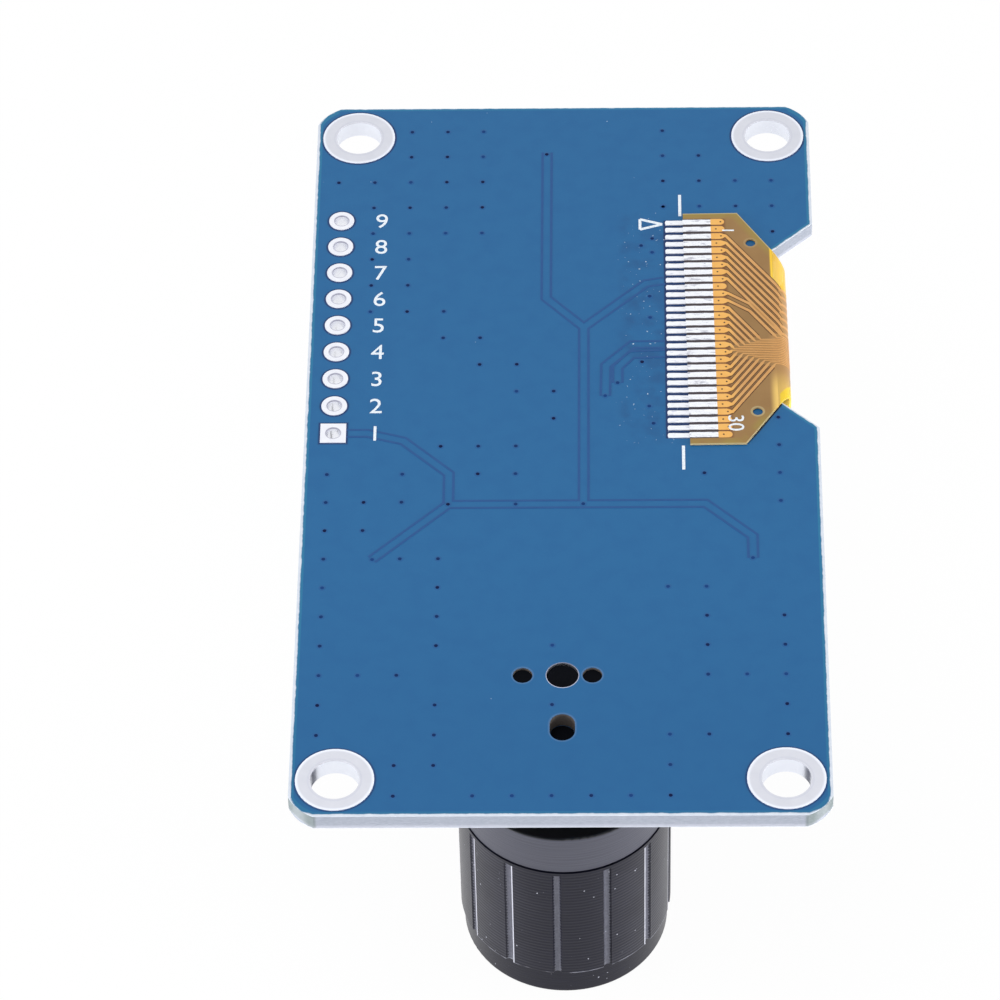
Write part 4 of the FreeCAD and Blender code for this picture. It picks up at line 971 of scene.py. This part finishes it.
shell_paint = Paint("black_anodising", ink(24, 25, 33), 0.34, metallic=0.25, specular_ior_level=0.36)
across, along, up = shell_paint.axes()
from_x, from_y = across - shaft_x, along - shaft_y
spoke_gap = ALL_ROUND / flute_count
angle = from_y.maths("ARCTAN2", from_x) - flute_first
from_flute = angle.maths("WRAP", spoke_gap / 2, -spoke_gap / 2) * knob_radius
on_flutes = shell_paint.band(up, flute_end, flute_start, 0.03)
saw = (up * (ALL_ROUND / turned_pitch)).maths("SINE")
wear = shell_paint.grain(2.2, 3, (0.4, 0.4, 5))
patch = shell_paint.grain(0.35, 2)
torn = shell_paint.grain(5, 3)
ragged = from_flute.unsigned() + saw * 0.03 + torn * 0.16 - 0.08
in_flute = (1 - shell_paint.step(ragged, flute_half - 0.03, flute_half + 0.03)) * on_flutes
# Painted highlights: a near-white line along the edge of each flute that faces the knob's middle, on the
# flutes towards the sides.
inward = from_flute * ((from_x < 0) * 2 - 1)
glints = shell_paint.step(from_x, 3.6, 4.6).most(1 - shell_paint.step(from_x, -2.6, -1.4))
shine = shell_paint.band(inward, flute_half + 0.06, flute_half + 0.15, 0.02) * glints * on_flutes
# The turned ridges are painted lighter, more towards the knob's sides: partly the turning marks and partly
# painted highlight.
catches = 0.03 + shell_paint.step(from_x.unsigned(), 1, 5) * 0.24
turned = (saw * 0.5 + 0.5) * (1 - in_flute) * shell_paint.step(up, flute_end, flute_end + 0.05)
turned_line_glints = turned * (0.4 + shell_paint.step(patch, 0.35, 0.65) * 0.6) * catches
black = shell_paint.mix(wear, ink(4, 4, 19), ink(18, 18, 38))
black = shell_paint.mix(turned_line_glints, black, ink(84, 85, 100))
black = shell_paint.mix(in_flute, black, shell_paint.mix(torn, ink(70, 71, 84), ink(124, 125, 138)))
black = shell_paint.mix(shine * 0.85, black, ink(226, 227, 240))
lip = shell_paint.band(up, flute_end - 0.05, flute_end + 0.06, 0.03)
black = shell_paint.mix(lip * shell_paint.step(wear, 0.46, 0.56) * 0.7, black, ink(150, 151, 164))
dust = shell_paint.grain(3.2, 1)
black = shell_paint.mix(shell_paint.step(dust, 0.765, 0.785), black, ink(190, 192, 206))
shell_paint.lay("Base Color", black)
shell_paint.lay("Roughness", 0.28 + wear * 0.12)
shell_paint.bump(turned * 0.2 + wear * 0.3, 0.03)
dress("knob_shell", shell_paint)


# Small parts on the front face: ceramic chip resistors and capacitors with tinned ends.

resistor_paint = Paint("resistor_glaze", ink(24, 24, 28), 0.3)
glaze = resistor_paint.grain(4, 3)
resistor_paint.lay("Base Color", resistor_paint.mix(glaze, ink(16, 16, 20), ink(36, 36, 42)))
dress("chip_resistors", resistor_paint)
ceramic_paint = Paint("capacitor_ceramic", ink(150, 112, 78), 0.5)
fired = ceramic_paint.grain(4, 3)
ceramic_paint.lay("Base Color", ceramic_paint.mix(fired, ink(138, 100, 68), ink(164, 126, 90)))
ceramic_paint.bump(fired, 0.02)
dress("chip_capacitors", ceramic_paint)


# Stand: a plain white floor under the knob's end, a pale room of even light and soft lamps.
# Camera, gloss and glass see white there, and the floor keeps a faint shadow.

WHITE = (1, 1, 1, 1)


def seen_white(nodes, glow, lit, share, output):
    """Shows a glow instead of the lit surface to the camera, in gloss and through glass."""
    ways = [nodes.node("ShaderNodeLightPath", {}, {}, f"Is {way} Ray")
            for way in ("Camera", "Glossy", "Transmission")]
    looks = ways[0].most(ways[1]).most(ways[2]) * share
    blend = nodes.node("ShaderNodeMixShader", {}, {0: looks, 1: lit, 2: glow})
    nodes.tree.links.new(blend.socket, nodes.tree.nodes[output].inputs["Surface"])


floor_low = cup_end - 0.03
floor_half = 4000
floor_paint = Paint("white_floor", (0.92, 0.92, 0.92, 1), 0.9, specular_ior_level=0)
glow = floor_paint.node("ShaderNodeEmission", {}, {"Color": WHITE, "Strength": 1.0})
seen_white(floor_paint, glow, Signal(floor_paint, floor_paint.shader.outputs[0]), 0.97, "Material Output")
shape = bmesh.new()
bmesh.ops.create_grid(shape, x_segments=1, y_segments=1, size=floor_half)
bmesh.ops.translate(shape, verts=shape.verts, vec=(0, 0, floor_low))
bmesh.ops.transform(shape, matrix=Matrix.Scale(MM, 4), verts=shape.verts)
mesh = bpy.data.meshes.new("floor")
shape.to_mesh(mesh)
shape.free()
mesh.materials.append(floor_paint.material)
floor = bpy.data.objects.new("floor", mesh)
bpy.context.scene.collection.objects.link(floor)

world = bpy.data.worlds.new("pale_room")
bpy.context.scene.world = world
world.use_nodes = True
room = Nodes(world.node_tree)
glow = room.node("ShaderNodeBackground", {}, {"Color": WHITE, "Strength": 1.0})
even = room.node("ShaderNodeBackground", {}, {"Color": (0.97, 0.985, 1, 1), "Strength": 0.55})
seen_white(room, glow, even, 1.0, "World Output")


def lamp(name, spot, aim, broad, watts):
    light = bpy.data.lights.new(name, "AREA")
    light.size = broad * MM
    light.energy = watts
    holder = bpy.data.objects.new(name, light)
    bpy.context.scene.collection.objects.link(holder)
    holder.location = Vector(spot) * MM
    holder.rotation_euler = (Vector(aim) - Vector(spot)).to_track_quat("-Z", "Y").to_euler()


lamp("top_lamp", (-120, -60, 420), (0, 0, 0), 300, 0.75)
lamp("front_lamp", (60, -380, 60), (0, -10, -10), 260, 0.12)
lamp("left_lamp", (-380, -130, 10), (0, -10, -10), 240, 1.9)
lamp("right_lamp", (380, -130, 10), (0, -10, -10), 240, 2.1)

camera_spot = Vector((3.61, -261.25, 281.88)) * MM
camera_aim = Vector((-4.128, -5.296, 0)) * MM
camera_roll = math.radians(-1.549)
lens = bpy.data.cameras.new("camera")
lens.sensor_width = 36
lens.lens = 204.67
lens.clip_start = 0.01
camera = bpy.data.objects.new("camera", lens)
bpy.context.scene.collection.objects.link(camera)
camera.location = camera_spot
look = (camera_aim - camera_spot).to_track_quat("-Z", "Y") @ Quaternion((0, 0, 1), camera_roll)
camera.rotation_euler = look.to_euler()
bpy.context.scene.camera = camera
bpy.context.scene.view_settings.view_transform = "Standard"
